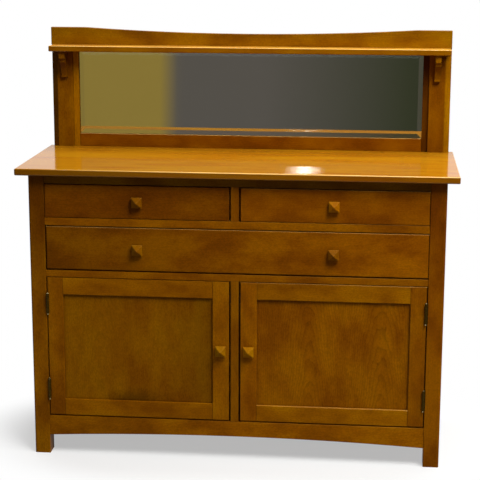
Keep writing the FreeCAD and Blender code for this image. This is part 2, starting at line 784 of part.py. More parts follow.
# Top board
top_blank = eased(
    block((-top_half, top_half), (-back, back), (case_top, s.top_height)),
    s.top_round, ("top",), ("bottom",), ("left", "front"), ("right", "front"), skip=("back",),
)
top_entering = [*post_cores.values(), *straps.values(), *front_screw_holes, *back_screw_holes]
node("top_board", cut(top_blank, *top_entering))

# Gallery shelf, crest and corbels
shelf_front = post_face - s.shelf_depth
shelf_end = gallery_half - s.shelf_inset
shelf = block((-shelf_end, shelf_end), (shelf_front, post_face), (shelf_bottom, shelf_top))
shelf_edges = [("front",), ("left", "top"), ("left", "bottom"), ("right", "top"), ("right", "bottom")]
node("gallery_shelf", eased(shelf, s.shelf_round, *shelf_edges))

crest_length = gallery_half * 2
crest_right = crest_length - s.crest_flat
crest = profile(
    "XZ_Plane",
    [
        (0, 0), (crest_length, 0), (crest_length, s.crest_height),
        (crest_right, s.crest_height), (s.crest_flat, s.crest_height), (0, s.crest_height),
    ],
    s.crest_thick, (-gallery_half, post_face, shelf_top),
    hollows={3: arc_radius(gallery_half - s.crest_flat, s.crest_dip)}, backward=True,
)
crest_eased = eased(crest, s.arris, ("front",), skip=("bottom",))
node("crest_rail", cut(crest_eased, *post_cores.values()))

cove_bottom = s.corbel_height - s.corbel_block - s.corbel_cove
ledge_bottom = cove_bottom - s.corbel_ledge
corbel_outline = [
    (s.corbel_depth, 0), (s.corbel_depth, s.corbel_height), (0, s.corbel_height),
    (0, s.corbel_height - s.corbel_block), (s.corbel_cove, cove_bottom), (s.corbel_cove, ledge_bottom),
    (s.corbel_cove + s.corbel_ledge, ledge_bottom),
    (s.corbel_depth - s.corbel_foot_depth, s.corbel_foot_height),
    (s.corbel_depth - s.corbel_foot_depth, 0),
]
corbels = []
for name, sign in SIDES:
    x = about(middle(beside(sign, post_in, gallery_half - s.chamfer_width)), s.corbel_thick)
    corbels.append(
        profile(
            "YZ_Plane", corbel_outline, s.corbel_thick,
            (x[0], post_face - s.corbel_depth, shelf_bottom - s.corbel_height),
            hollows={3: s.corbel_cove, 6: s.scoop_radius},
        )
    )
node("corbels", group(*corbels))

# Mirror frame, glass and backboard
frame_front = post_face + s.frame_setback
frame_back = frame_front + s.frame_thick
glass_front = frame_front + s.lip_thick
glass_back = glass_front + s.glass_thick
sight_half = post_in - s.frame_stile
sight_bottom = s.top_height + s.frame_bottom
sight_top = shelf_top - s.frame_top


def behind_lip(y, room):
    hold = s.lip_cover - room
    return (-sight_half - hold, sight_half + hold), y, (sight_bottom - hold, sight_top + hold)


def frame_rail(z, core_z):
    core = block(
        (-sight_half - s.frame_tenon, sight_half + s.frame_tenon),
        about(middle((frame_front, frame_back)), s.frame_tenon_thick),
        core_z,
    )
    return joined(block((-sight_half, sight_half), (frame_front, frame_back), z), core)


rabbet = block(*behind_lip((glass_front, frame_back), 0))
frame_rails = [
    frame_rail(
        (s.top_height, sight_bottom),
        (s.top_height + s.frame_tenon_shoulder, sight_bottom - s.lip_cover - s.frame_tenon_shoulder),
    ),
    frame_rail(
        (sight_top, shelf_top),
        (sight_top + s.lip_cover + s.frame_tenon_shoulder, shelf_top - s.frame_tenon_shoulder),
    ),
]
frame_stiles = [
    block(beside(sign, sight_half, post_in), (frame_front, frame_back), (s.top_height, shelf_top))
    for name, sign in SIDES
]
node("mirror_rails", group(*(cut(rail, rabbet) for rail in frame_rails)))
node("mirror_stiles", group(*(cut(stile, rabbet, *frame_rails) for stile in frame_stiles)))

glass_x, glass_y, glass_z = behind_lip((glass_front, glass_back), s.glass_clear)
bevel_y = (glass_front, glass_front + s.bevel_drop)
bright_x = (glass_x[0] + s.bevel_width, glass_x[1] - s.bevel_width)
bright_z = (glass_z[0] + s.bevel_width, glass_z[1] - s.bevel_width)
node(
    "mirror_glass",
    joined(
        tapered(bright_x, bright_z, glass_x, glass_z, bevel_y),
        block(glass_x, (bevel_y[1], glass_back), glass_z),
    ),
)
node("mirror_backboard", block(*behind_lip((glass_back, frame_back), s.glass_clear)))


# Square pyramid knobs on a round neck, with a spigot through the wood
def knob(x, z, thick):
    block_front = face - s.knob_neck - s.knob_edge
    wide = about(x, s.knob_size), about(z, s.knob_size)
    tip = about(x, s.knob_tip), about(z, s.knob_tip)
    return joined(
        tapered(*tip, *wide, (block_front - s.knob_peak, block_front)),
        block(wide[0], (block_front, block_front + s.knob_edge), wide[1]),
        turned("Cylinder", (x, face, z), "-y", Radius=s.neck_radius, Height=s.knob_neck),
        turned("Cylinder", (x, face, z), "+y", Radius=s.spigot_radius, Height=thick),
    )


# Drawers, dovetailed at the front, with the bottom in grooves and the back in housings
def drawer(name, x, z, front_z, tails, knob_places):
    left, right = x
    front_back = face + s.drawer_front_thick
    rear = back_rail_front - s.drawer_rear_gap
    side_z = (z[0] + s.slide_clear, z[1] - s.drawer_top_gap)
    bottom_z = (side_z[0] + s.drawer_bottom_lift, side_z[0] + s.drawer_bottom_lift + s.drawer_bottom_thick)
    hold = s.drawer_side_thick - s.drawer_groove
    inside = (left + hold, right - hold)
    bottom = block(inside, (front_back - s.drawer_groove, rear), bottom_z)
    back_y = rear - s.drawer_back_inset
    back_z = (bottom_z[1], side_z[1] - s.drawer_back_drop)
    back_board = block(inside, (back_y - s.drawer_back_thick, back_y), back_z)
    knobs = [knob(place, middle(z), s.drawer_front_thick) for place in knob_places]
    sides = []
    sockets = []
    for side_x in ((left, left + s.drawer_side_thick), (right - s.drawer_side_thick, right)):
        dovetails = []
        pitch = (side_z[1] - side_z[0]) / tails
        for tail in range(tails):
            centre = side_z[0] + pitch * (tail + 0.5)
            wide, narrow = about(centre, s.tail_wide), about(centre, s.tail_narrow)
            dovetails.append(tapered(side_x, wide, side_x, narrow, (front_back - s.tail_length, front_back)))
        board = block(side_x, (front_back, rear), side_z)
        sides.append(cut(joined(board, *dovetails), bottom, back_board))
        sockets += dovetails
    front_board = eased(block(x, (face, front_back), front_z), s.arris, ("front",))
    node(f"{name}_front", cut(front_board, bottom, *sockets, *knobs))
    node(f"{name}_sides", group(*sides))
    node(f"{name}_back", back_board)
    node(f"{name}_bottom", bottom)
    if len(knobs) == 1:
        node(f"{name}_knob", knobs[0])
    else:
        node(f"{name}_knobs", group(*knobs))


small_z = (small_bottom, small_top)
small_front_z = (small_bottom + s.small_foot_gap, small_top - s.small_head_gap)
small_knob = middle((half_mullion, leg_in))
for name, sign in SIDES:
    small_x = beside(sign, half_mullion + s.divider_gap, leg_in - s.drawer_gap)
    drawer(f"{name}_drawer", small_x, small_z, small_front_z, UPPER_DRAWER_TAIL_COUNT, [small_knob * sign])
long_x = (-leg_in + s.long_drawer_gap, leg_in - s.drawer_gap)
long_z = (long_bottom, long_top)
long_front_z = (long_bottom + s.long_foot_gap, long_top - s.long_head_gap)
drawer("long_drawer", long_x, long_z, long_front_z, LOWER_DRAWER_TAIL_COUNT, [-small_knob, small_knob])

# The magnetic catch behind the mullion, and its strike plate on each door
catch_z = (door_top - s.catch_drop - s.catch_height, door_top - s.catch_drop)
strike_near = half_mullion + s.mullion_gap + s.strike_inset
strike_far = strike_near + s.strike_width
strike_back = face + s.door_thick + s.strike_thick
catch_front = larger(rail_back, strike_back + s.catch_gap)
catch_back = catch_front + s.catch_depth
node(
    "door_catch",
    joined(
        block((-strike_far, strike_far), (catch_front, catch_back), catch_z),
        block((-half_mullion, half_mullion), (rail_back, catch_back), catch_z),
    ),
)


# Doors: two stiles, two tenoned rails and a panel that is loose in its grooves
def door(name, sign):
    near, far = half_mullion + s.mullion_gap, leg_in - s.door_gap
    low, high = door_bottom + s.door_foot_gap, door_top - s.door_head_gap
    y = (face, face + s.door_thick)
    rail_near, rail_far = near + s.stile_width, far - s.hinge_stile_width

    def door_rail(z):
        spans = {"x": beside(sign, rail_near, rail_far), "y": y, "z": z}
        board = eased(block(**spans), s.arris, ("front", "top"), ("front", "bottom"))
        core = tongue("x", "y", **spans, length=s.tenon_length, thick=s.tenon_thick, shoulder=s.groove_depth)
        return joined(board, core)

    def panel(room):
        hold = s.groove_depth - room
        return block(
            beside(sign, rail_near - hold, rail_far + hold),
            (face + s.door_recess, face + s.door_recess + s.panel_thick),
            (low + s.lower_door_rail - hold, high - s.door_rail_height + hold),
        )

    def stile(inner, outer, *entering):
        board = eased(block(beside(sign, inner, outer), y, (low, high)), s.arris, ("front",))
        return cut(board, *rails, groove, *entering)

    rails = [door_rail((low, low + s.lower_door_rail)), door_rail((high - s.door_rail_height, high))]
    groove = panel(0)
    hinges = door_hinges[name]
    door_knob = knob((near + s.stile_width / 2) * sign, middle((low, high)) + s.door_knob_lift, s.door_thick)
    strike = block(beside(sign, strike_near, strike_far), (face + s.door_thick, strike_back), catch_z)
    hinge_stile = stile(rail_far, far, *hinges.leaves, *hinges.holes)
    node(f"{name}_door_stiles", group(hinge_stile, stile(near, rail_near, door_knob)))
    node(f"{name}_door_rails", group(*(cut(rail, groove) for rail in rails)))
    node(f"{name}_door_panel", panel(s.panel_clear))
    node(f"{name}_door_knob", door_knob)
    node(f"{name}_door_hinge_leaves", group(*hinges.leaves))
    node(f"{name}_door_fixings", group(strike, *hinges.screws))


for name, sign in SIDES:
    door(name, sign)

case_screws = [*front_screws, *back_screws]
for name, sign in SIDES:
    case_screws += [*strap_screws[name], *case_hinges[name].screws]
node("case_screws", group(*case_screws))

doc.recompute()
for thing in doc.Objects:
    if "Invalid" in thing.State or "Error" in thing.State:
        raise RuntimeError(f"{thing.Label} failed: {thing.State}")
for label, thing in nodes.items():
    if thing.Shape.isNull() or not thing.Shape.isValid():
        raise RuntimeError(f"{label} has no valid shape")

os.makedirs("parts", exist_ok=True)
for label, thing in nodes.items():
    thing.Shape.exportStep(f"parts/{label}.step")
    print(f"{label}: {len(thing.Shape.Solids)} solids, {thing.Shape.Volume / 1000:.1f} cm3")
print(f"{len(nodes)} nodes")
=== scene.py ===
# %% [markdown]
# # A chiffonier with a mirror back
# The joiner's work is already done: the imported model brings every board, hinge, screw and pane of
# glass. This lesson gives those boards their stain, grain and lacquer, makes knobs, screws and strike
# plates again with finer edges, silvers the mirror, and sets the whole piece in a plain studio. All
# places are in metres. X runs to the right, the front faces -Y and Z is up.

import math

import bmesh
import bpy
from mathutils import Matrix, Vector


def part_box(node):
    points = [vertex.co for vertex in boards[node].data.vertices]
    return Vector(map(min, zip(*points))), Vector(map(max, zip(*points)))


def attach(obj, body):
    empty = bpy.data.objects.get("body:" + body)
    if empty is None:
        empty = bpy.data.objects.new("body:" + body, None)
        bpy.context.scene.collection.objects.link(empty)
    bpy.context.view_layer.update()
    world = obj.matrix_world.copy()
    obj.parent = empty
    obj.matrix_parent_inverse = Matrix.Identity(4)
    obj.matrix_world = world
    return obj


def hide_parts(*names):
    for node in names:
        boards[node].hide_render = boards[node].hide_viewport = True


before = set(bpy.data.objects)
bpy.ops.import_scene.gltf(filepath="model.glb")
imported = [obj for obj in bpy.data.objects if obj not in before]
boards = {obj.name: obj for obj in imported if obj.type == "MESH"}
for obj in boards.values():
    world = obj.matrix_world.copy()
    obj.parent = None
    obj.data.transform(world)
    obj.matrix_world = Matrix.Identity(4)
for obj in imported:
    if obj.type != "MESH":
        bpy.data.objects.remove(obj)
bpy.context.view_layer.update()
scene = bpy.context.scene
scene.view_settings.view_transform = "Standard"

# %% [markdown]
# ## The camera
# The picture was taken at eye height, a little to the right of the middle and some four metres away,
# looking down at the cupboard. A long lens keeps the uprights nearly parallel. The place and turn come
# from fitting about forty corners of the piece, so they are set as numbers and not by eye.

# %% Camera
PICTURE_WIDTH = 480  # pixels
FOCAL_PIXELS = 1429.45  # the fitted focal length in pixels
CAMERA_TURN = (77.7035, -0.1639, 5.6389)  # degrees

camera_data = bpy.data.cameras.new("camera")
camera_data.sensor_width = 36
camera_data.lens = FOCAL_PIXELS * camera_data.sensor_width / PICTURE_WIDTH
camera = bpy.data.objects.new("camera", camera_data)
camera.location = (0.42844, -4.42396, 1.62506)
camera.rotation_euler = [math.radians(angle) for angle in CAMERA_TURN]
scene.collection.objects.link(camera)
scene.camera = camera
print(f"lens {camera_data.lens:.1f} mm")

# %% [markdown]
# ## Helpers for every finish
# Colours are picked as sRGB hex values, as a painter would read them off a chart, but shaders take
# linear light, so one function converts them. A second one adds a node, sets it up and feeds its
# inputs, which keeps each finish short enough to read from its first node to its last. A third starts
# an empty finish.

# %% Colour, node and finish helpers
MIX_A, MIX_B, MIXED = 6, 7, 2  # the colour sockets of a Mix node


def paint(code, strength=1.0):
    """The linear colour of an sRGB hex value."""
    parts = [int(code[place:place + 2], 16) / 255 for place in (1, 3, 5)]
    linear = [part / 12.92 if part <= 0.04045 else ((part + 0.055) / 1.055) ** 2.4 for part in parts]
    return [part * strength for part in linear] + [1.0]


def add(tree, kind, inputs=(), **settings):
    """Adds a node with its settings, and feeds its inputs with values or with other nodes' outputs."""
    node = tree.nodes.new(kind)
    for name, value in settings.items():
        setattr(node, name, value)
    for place, value in dict(inputs).items():
        if isinstance(value, bpy.types.NodeSocket):
            tree.links.new(value, node.inputs[place])
        else:
            node.inputs[place].default_value = value
    return node


def new_finish(name):
    """An empty material with its tree and its shader."""
    material = bpy.data.materials.new(name)
    material.use_nodes = True
    tree = material.node_tree
    return material, tree, tree.nodes["Principled BSDF"]


print("stain sample", [round(part, 4) for part in paint("#7a4803")])

# %% [markdown]
# ## Stained wood
# The real boards are a close-grained hardwood under an amber stain and a satin lacquer. Up close the
# eye finds growth rings that sweep up a flat-sawn board in long arches, fine fibres, short flecks, and
# cloudy patches where the stain took unevenly. An image of wood would repeat and stretch, so each is
# worked out from where a point lies in the log: the distance from the heart of the tree gives the
# rings, and noise drawn out along the grain gives the rest. Every board gets its own place in the log,
# so no two look alike. A chart holds what most boards share, and each board changes only what is its
# own.

# %% What most boards share
BOARD = {
    "stave": 1.0,  # width of a glued stave
    "stave_middle": 0.1,  # where the middle of one stave lies, across from the middle of the board
    "figure": 0.12,  # how dark the rings are
    "contrast": 0.28,  # how dark and light the cloudy patches are
    "fleck": 0.15,  # how dark and light the flecks are
    "cloud": (0.07, 0.07, 0.14),  # width, depth and length of a patch where the stain took unevenly
    "ior": 1.1,  # low, because a thin, dull lacquer reflects less than a thick coat
    "roughness": 0.36,  # a satin lacquer
    "arris_aside": -0.5,  # painted shade on an arris that looks aside or down; above 0 a painted highlight instead
    "arris_above": 0.0,  # the same for an arris that looks up
    "bare": 0.1,  # how much painted highlight, in a pale wood colour, an arris that looks up gets
    "bare_from": -2.0,  # place on X, from the middle of the piece, where that starts
    "faded": None,  # painted light: the colour of the faces that look up, lighter as if lit more from above
    "drift": None,  # an axis, two places on it, and the colour beyond the second; on many boards this paints light and shade
    "shaded_rim": None,  # half the width and height that show of a panel with painted shade round its rim
    "mark": None,  # place of an old dark mark, from the middle of the board
}
print(f"{len(BOARD)} things that a board may change")

# %% Where a point lies in the log
STAVE_SLIP = 0.037  # each glued stave is cut from a place this much further along the log


def in_the_log(tree, axes, grain, look):
    """A point's place in the log of its own stave, and its place on the whole board."""
    stave = look["stave"]
    across, through, along = [axes[axis] for axis in grain]
    across = add(tree, "ShaderNodeMath", {
        0: across, 1: look["stave_middle"],
    }, operation="SUBTRACT").outputs[0]
    count = add(tree, "ShaderNodeMath", {0: across, 1: 1 / stave, 2: 0.5}, operation="MULTIPLY_ADD")
    count = add(tree, "ShaderNodeMath", {0: count.outputs[0]}, operation="FLOOR")
    within = add(tree, "ShaderNodeMath", {0: across, 1: stave / 2, 2: -stave / 2}, operation="WRAP")
    slid = add(tree, "ShaderNodeMath", {
        0: count.outputs[0], 1: STAVE_SLIP, 2: along,
    }, operation="MULTIPLY_ADD")
    log = add(tree, "ShaderNodeCombineXYZ", {0: within.outputs[0], 1: through, 2: slid.outputs[0]})
    board = add(tree, "ShaderNodeCombineXYZ", {0: across, 1: through, 2: along})
    return log.outputs[0], board.outputs[0]


ALONG_X = "ZYX"
ALONG_X_FLAT = "YZX"
ALONG_Y = "ZXY"
ALONG_Z = "XYZ"
ALONG_Z_SIDE = "YXZ"
print("grain codes name the axes across, through and along a board")

# %% Markings of the grain
RING = 0.0055  # ring spacing. Real rings are 1 to 3 mm apart; these are as coarse as the picture needs
RING_WAVE = 0.02  # how far the rings wander
LATE_WOOD = 4.0  # a higher power keeps the dark late wood of a ring narrower
FIBRE = (0.004, 0.004, 0.15)  # width, depth and length of a streak of fibres, coarser than the real 1 mm
FLECK = (0.0035, 0.0035, 0.006)  # a short fleck across the fibres, also coarser than the real 1 mm
NOISE_STEP = (3.1, 1.7, 1.0)  # how far the noise moves for each unit of a board's shift
HEART = 0.05  # distance from the middle of a board to the heart of the tree
HEART_SWAY = 0.015  # the most that the heart lies to one side
HEART_TILT = -0.11  # turn of the log against the board, which draws the rings out into arches


def markings(tree, log, board, shift, look):
    """Fibres, flecks and clouds, and the dark late wood of the rings, each between 0 and 1."""
    marks = {}
    layers = (("fibre", log, FIBRE), ("fleck", log, FLECK), ("cloud", board, look["cloud"]))
    for layer, point, size in layers:
        stretched = add(tree, "ShaderNodeMapping", {
            "Vector": point,
            "Location": [step * shift for step in NOISE_STEP],
            "Scale": [1 / length for length in size],
        })
        marks[layer] = add(tree, "ShaderNodeTexNoise", {
            "Vector": stretched.outputs[0], "Scale": 1.0, "Detail": 3.0, "Roughness": 0.55,
        }).outputs["Fac"]

    heart = add(tree, "ShaderNodeMapping", {
        "Vector": log,
        "Location": (HEART_SWAY * math.sin(7 * shift), HEART, 0.0),
        "Rotation": (HEART_TILT, 0.0, 0.0),
    })
    flat = add(tree, "ShaderNodeVectorMath", {0: heart.outputs[0], 1: (1, 1, 0)}, operation="MULTIPLY")
    radius = add(tree, "ShaderNodeVectorMath", {0: flat.outputs[0]}, operation="LENGTH").outputs["Value"]
    wavy = add(tree, "ShaderNodeMath", {
        0: marks["cloud"], 1: RING_WAVE, 2: radius,
    }, operation="MULTIPLY_ADD")
    ring = add(tree, "ShaderNodeMath", {0: wavy.outputs[0], 1: 1 / RING}, operation="MULTIPLY")
    ring = add(tree, "ShaderNodeMath", {0: ring.outputs[0]}, operation="FRACT")
    late = add(tree, "ShaderNodeMath", {0: ring.outputs[0], 1: LATE_WOOD}, operation="POWER")
    marks["late"] = late.outputs[0]
    return marks


print(f"rings {RING * 1000:.1f} mm apart")

# %% [markdown]
# ## Painted shade and highlights on edges
# Arrises that look aside or down are painted darker, as shade, and some that look up get a painted
# highlight in a pale wood colour, which grows towards the right of the piece, where more light falls.
# The shader's Bevel node finds them: close to an arris its soft normal turns away from the flat one.
# Door panels get painted shade round their rims, in the recess, and the left one has an old dark mark
# at its foot.

# %% Arrises
ARRIS = 0.0022  # how far the painted shade and highlight reach from an arris
HIGHLIGHT_RAMP = 0.5  # over this length along X the painted highlight grows from none to full
FLAT_TURN, EDGE_TURN = 0.998, 0.95  # cosine between both normals on a flat face, and well into an arris
ASIDE, UP = 0.1, 0.4  # an arris looks aside below the first rise of its normal, and up above the second
ROUND_MIDDLE, ROUND_HALF = 0.6, 0.3  # middle and half range of the normal's rise on a rounded upper edge


def edges(tree, axes, middle, facet, look):
    """The soft normal, the painted shade on arrises, and the share of painted highlight on them."""
    soft_normal = add(tree, "ShaderNodeBevel", {"Radius": ARRIS}, samples=6).outputs[0]
    turn = add(tree, "ShaderNodeVectorMath", {0: soft_normal, 1: facet}, operation="DOT_PRODUCT")
    near_edge = add(tree, "ShaderNodeMapRange", {
        "Value": turn.outputs["Value"], "From Min": FLAT_TURN, "From Max": EDGE_TURN,
    }).outputs[0]
    rise = add(tree, "ShaderNodeSeparateXYZ", {0: soft_normal}).outputs["Z"]
    # painted shade on arrises that look aside or down, kept as a factor on the colour
    arris_shade = add(tree, "ShaderNodeMapRange", {
        "Value": rise, "From Min": ASIDE, "From Max": UP,
        "To Min": look["arris_aside"], "To Max": look["arris_above"],
    }).outputs[0]
    stained = add(tree, "ShaderNodeMath", {
        0: near_edge, 1: arris_shade, 2: 1.0,
    }, operation="MULTIPLY_ADD").outputs[0]

    # painted highlight on arrises that look up, growing towards the right, where more light falls
    upper = add(tree, "ShaderNodeMapRange", {"Value": rise, "From Min": ASIDE, "From Max": UP}).outputs[0]
    highlit = add(tree, "ShaderNodeMath", {0: near_edge, 1: upper}, operation="MULTIPLY").outputs[0]
    # on boards with painted top light the rounded upper edge gets the painted highlight too
    if look["faded"]:
        upward = add(tree, "ShaderNodeSeparateXYZ", {0: facet}).outputs["Z"]
        rounded = add(tree, "ShaderNodeMath", {
            0: upward, 1: ROUND_MIDDLE, 2: ROUND_HALF,
        }, operation="COMPARE").outputs[0]
        highlit = add(tree, "ShaderNodeMath", {0: highlit, 1: rounded}, operation="MAXIMUM").outputs[0]
    start = look["bare_from"] - middle[0]
    highlight_share = add(tree, "ShaderNodeMapRange", {
        "Value": axes["X"], "From Min": start, "From Max": start + HIGHLIGHT_RAMP, "To Max": look["bare"],
    }).outputs[0]
    arris_highlight = add(tree, "ShaderNodeMath", {0: highlit, 1: highlight_share}, operation="MULTIPLY").outputs[0]
    return soft_normal, stained, arris_highlight


print(f"arrises are worn {ARRIS * 1000:.1f} mm wide")

# %% Shade and stain
NOISE_RANGE = (0.35, 0.65)  # nearly all of a noise lies between these
FIBRE_SHADE = (1.03, 0.96)  # fibres are only a little darker than the wood between them
RIM_SHADE_WIDTH, RIM_SHADE = 0.006, 0.7  # how far the painted shade reaches in from a panel's rim, and how dark it is there
MARK = (0.12, 1.0, 0.045)  # half sizes of the old dark mark on the left panel
MARK_SHADE = (0.4, 1.5, 0.25, 1.0)  # where the mark starts to fade and ends, and the shade at both
REDDER = (1.05, 0.95, 1.0, 1.0)  # tint of dark patches
YELLOWER = (0.95, 1.05, 1.0, 1.0)  # tint of light patches
LEVEL = (0.7, 0.9)  # rise of a face from which the painted top light starts, and where it is full


def shade_layers(tree, place, axes, marks, look):
    """For each marking its value, the range that it is read over, and the shades at both ends."""
    layers = [
        (marks["cloud"], *NOISE_RANGE, 1 - look["contrast"], 1 + look["contrast"]),
        (marks["fleck"], *NOISE_RANGE, 1 - look["fleck"], 1 + look["fleck"]),
        (marks["fibre"], *NOISE_RANGE, *FIBRE_SHADE),
        (marks["late"], 0.0, 1.0, 1 + look["figure"] / 5, 1 - look["figure"]),
    ]
    # painted shade round a panel's rim, in its recess
    for way, half in zip("XZ", look["shaded_rim"] or ()):
        off = add(tree, "ShaderNodeMath", {0: axes[way]}, operation="ABSOLUTE").outputs[0]
        layers.append((off, half - RIM_SHADE_WIDTH, half, 1.0, RIM_SHADE))
    if look["mark"]:
        spot = add(tree, "ShaderNodeVectorMath", {0: place, 1: look["mark"]}, operation="SUBTRACT")
        spot = add(tree, "ShaderNodeVectorMath", {0: spot.outputs[0], 1: MARK}, operation="DIVIDE")
        off = add(tree, "ShaderNodeVectorMath", {0: spot.outputs[0]}, operation="LENGTH").outputs["Value"]
        ragged = add(tree, "ShaderNodeMath", {0: marks["cloud"], 1: off}, operation="ADD").outputs[0]
        layers.append((ragged, *MARK_SHADE))
    return layers


def stain_and_light_tone(tree, axes, cloud, facet, stain, look):
    """The stain's colour, which drifts along a board with painted light and shade on some, is painted
    lighter on faces that look up, and redder in dark patches.
    """
    axis, low, high, far_colour = look["drift"] or ("X", 0.0, 1.0, stain)
    reach = add(tree, "ShaderNodeMapRange", {
        "Value": axes[axis], "From Min": low, "From Max": high,
    }).outputs[0]
    tone = add(tree, "ShaderNodeMix", {
        0: reach, MIX_A: paint(stain), MIX_B: paint(far_colour),
    }, data_type="RGBA").outputs[MIXED]
    # painted light: faces that look up are lighter, as if lit more from above
    if look["faded"]:
        upward = add(tree, "ShaderNodeSeparateXYZ", {0: facet}).outputs["Z"]
        lit = add(tree, "ShaderNodeMapRange", {
            "Value": upward, "From Min": LEVEL[0], "From Max": LEVEL[1],
        }).outputs[0]
        tone = add(tree, "ShaderNodeMix", {
            0: lit, MIX_A: tone, MIX_B: paint(look["faded"]),
        }, data_type="RGBA").outputs[MIXED]
    patch = add(tree, "ShaderNodeMapRange", {
        "Value": cloud, "From Min": NOISE_RANGE[0], "From Max": NOISE_RANGE[1],
    }).outputs[0]
    warmth = add(tree, "ShaderNodeMix", {
        0: patch, MIX_A: REDDER, MIX_B: YELLOWER,
    }, data_type="RGBA").outputs[MIXED]
    return add(tree, "ShaderNodeVectorMath", {0: tone, 1: warmth}, operation="MULTIPLY").outputs[0]


print("dark patches are redder, light ones yellower")

# %% [markdown]
# ## The whole wood finish
# The helpers above come together here: the stain's colour is shaded by all markings and by the painted
# shade, a painted highlight in a pale wood colour lies on upward arrises, and the fibres also give a
# slight relief and break up the gloss.

# %% Wood finish
HIGHLIGHT_COLOUR = "#edc272"  # pale wood colour of the painted highlight on arrises that look up
RELIEF = 0.0002  # height of the fibres under the lacquer
GLOSS_RANGE = (0.3, 0.7)  # the fibre noise that the gloss is read over


def wood(name, grain, stain, middle=(0, 0, 0), shift=0.0, **own):
    """Lacquered wood. The grain names the axes across, through and along it, the stain its mean colour."""
    look = {**BOARD, **own}
    material, tree, shader = new_finish(name)
    place = add(tree, "ShaderNodeVectorMath", {
        0: add(tree, "ShaderNodeTexCoord").outputs["Object"], 1: middle,
    }, operation="SUBTRACT").outputs[0]
    axes = add(tree, "ShaderNodeSeparateXYZ", {0: place}).outputs
    log, board = in_the_log(tree, axes, grain, look)
    marks = markings(tree, log, board, shift, look)
    facet = add(tree, "ShaderNodeNewGeometry").outputs["Normal"]
    soft_normal, shade, arris_highlight = edges(tree, axes, middle, facet, look)

    for value, low, high, first, last in shade_layers(tree, place, axes, marks, look):
        layer = add(tree, "ShaderNodeMapRange", {
            "Value": value, "From Min": low, "From Max": high, "To Min": first, "To Max": last,
        }).outputs[0]
        shade = add(tree, "ShaderNodeMath", {0: shade, 1: layer}, operation="MULTIPLY").outputs[0]
    tone = stain_and_light_tone(tree, axes, marks["cloud"], facet, stain, look)
    shaded = add(tree, "ShaderNodeVectorMath", {0: tone, "Scale": shade}, operation="SCALE").outputs[0]
    # painted highlight in a pale wood colour on upward arrises
    colour = add(tree, "ShaderNodeMix", {
        0: arris_highlight, MIX_A: shaded, MIX_B: paint(HIGHLIGHT_COLOUR),
    }, data_type="RGBA")
    tree.links.new(colour.outputs[MIXED], shader.inputs["Base Color"])

    roughness = look["roughness"]
    gloss = add(tree, "ShaderNodeMapRange", {
        "Value": marks["fibre"], "From Min": GLOSS_RANGE[0], "From Max": GLOSS_RANGE[1],
        "To Min": roughness - 0.04, "To Max": roughness + 0.06,
    })
    tree.links.new(gloss.outputs[0], shader.inputs["Roughness"])
    relief = add(tree, "ShaderNodeBump", {
        "Strength": 0.6 * roughness, "Distance": RELIEF, "Height": marks["fibre"], "Normal": soft_normal,
    })
    tree.links.new(relief.outputs[0], shader.inputs["Normal"])
    shader.inputs["IOR"].default_value = look["ior"]
    return material


def dress(node, material):
    """Gives a carried-over board its finish."""
    slots = boards[node].data.materials
    slots.clear()
    slots.append(material)


def middle_of(node):
    """The middle of a node's box."""
    low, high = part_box(node)
    return (low + high) / 2


print("middle of the top board", [round(part, 3) for part in middle_of("top_board")])

# %% [markdown]
# ## Stain, board by board
# No two boards took the stain alike, and one finish with one colour would look moulded, so a chart gives
# each board its grain and its mean colour, and a second chart what else is its own. Some of these
# colours are painted light and shade: the front legs are painted darker towards the top, under the top,
# the left post's outer chamfer darker and the right one's lighter, the drawer fronts and the bottom rail
# paler on the right, where more light falls, and the left corbel, the right mirror stile and the right
# side of the left door panel darker. Door and side panels are glued from staves. The top and the shelf
# have a harder, glossier lacquer, because they are wiped and polished.

# %% Stain chart
STAINED = {
    "front_leg_left": (ALONG_Z, "#865000"),
    "front_leg_right": (ALONG_Z, "#7f4600"),
    "rear_legs": (ALONG_Z, "#744000"),
    "front_top_rail": (ALONG_X, "#6c4200"),
    "drawer_rail": (ALONG_X, "#834a00"),
    "middle_rail": (ALONG_X, "#814900"),
    "front_bottom_rail": (ALONG_X, "#885000"),
    "drawer_divider": (ALONG_Z, "#743e00"),
    "door_mullion": (ALONG_Z, "#814b00"),
    "side_rails": (ALONG_Y, "#814900"),
    "side_panel_left": (ALONG_Z_SIDE, "#814900"),
    "side_panel_right": (ALONG_Z_SIDE, "#814900"),
    # the left post's colour here is its outer chamfer, painted in shade
    "gallery_post_left": (ALONG_Z, "#5c3600"),
    "gallery_post_right": (ALONG_Z, "#774400"),
    "crest_rail": (ALONG_X, "#774b00"),
    "corbels": (ALONG_Z_SIDE, "#683c00"),
    "mirror_rails": (ALONG_X, "#743e00"),
    "mirror_stiles": (ALONG_Z, "#915c00"),
    # the drawer fronts are painted paler towards the right, where more light falls
    "left_drawer_front": (ALONG_X, "#6e3a00"),
    "right_drawer_front": (ALONG_X, "#7d4300"),
    "long_drawer_front": (ALONG_X, "#6f3e00"),
    "left_door_stiles": (ALONG_Z, "#824b00"),
    "left_door_rails": (ALONG_X, "#895100"),
    "left_door_panel": (ALONG_Z, "#7f4c00"),
    "right_door_stiles": (ALONG_Z, "#8b5000"),
    "right_door_rails": (ALONG_X, "#834d00"),
    "right_door_panel": (ALONG_Z, "#834b00"),
}
print(f"{len(STAINED)} boards on the stain chart")

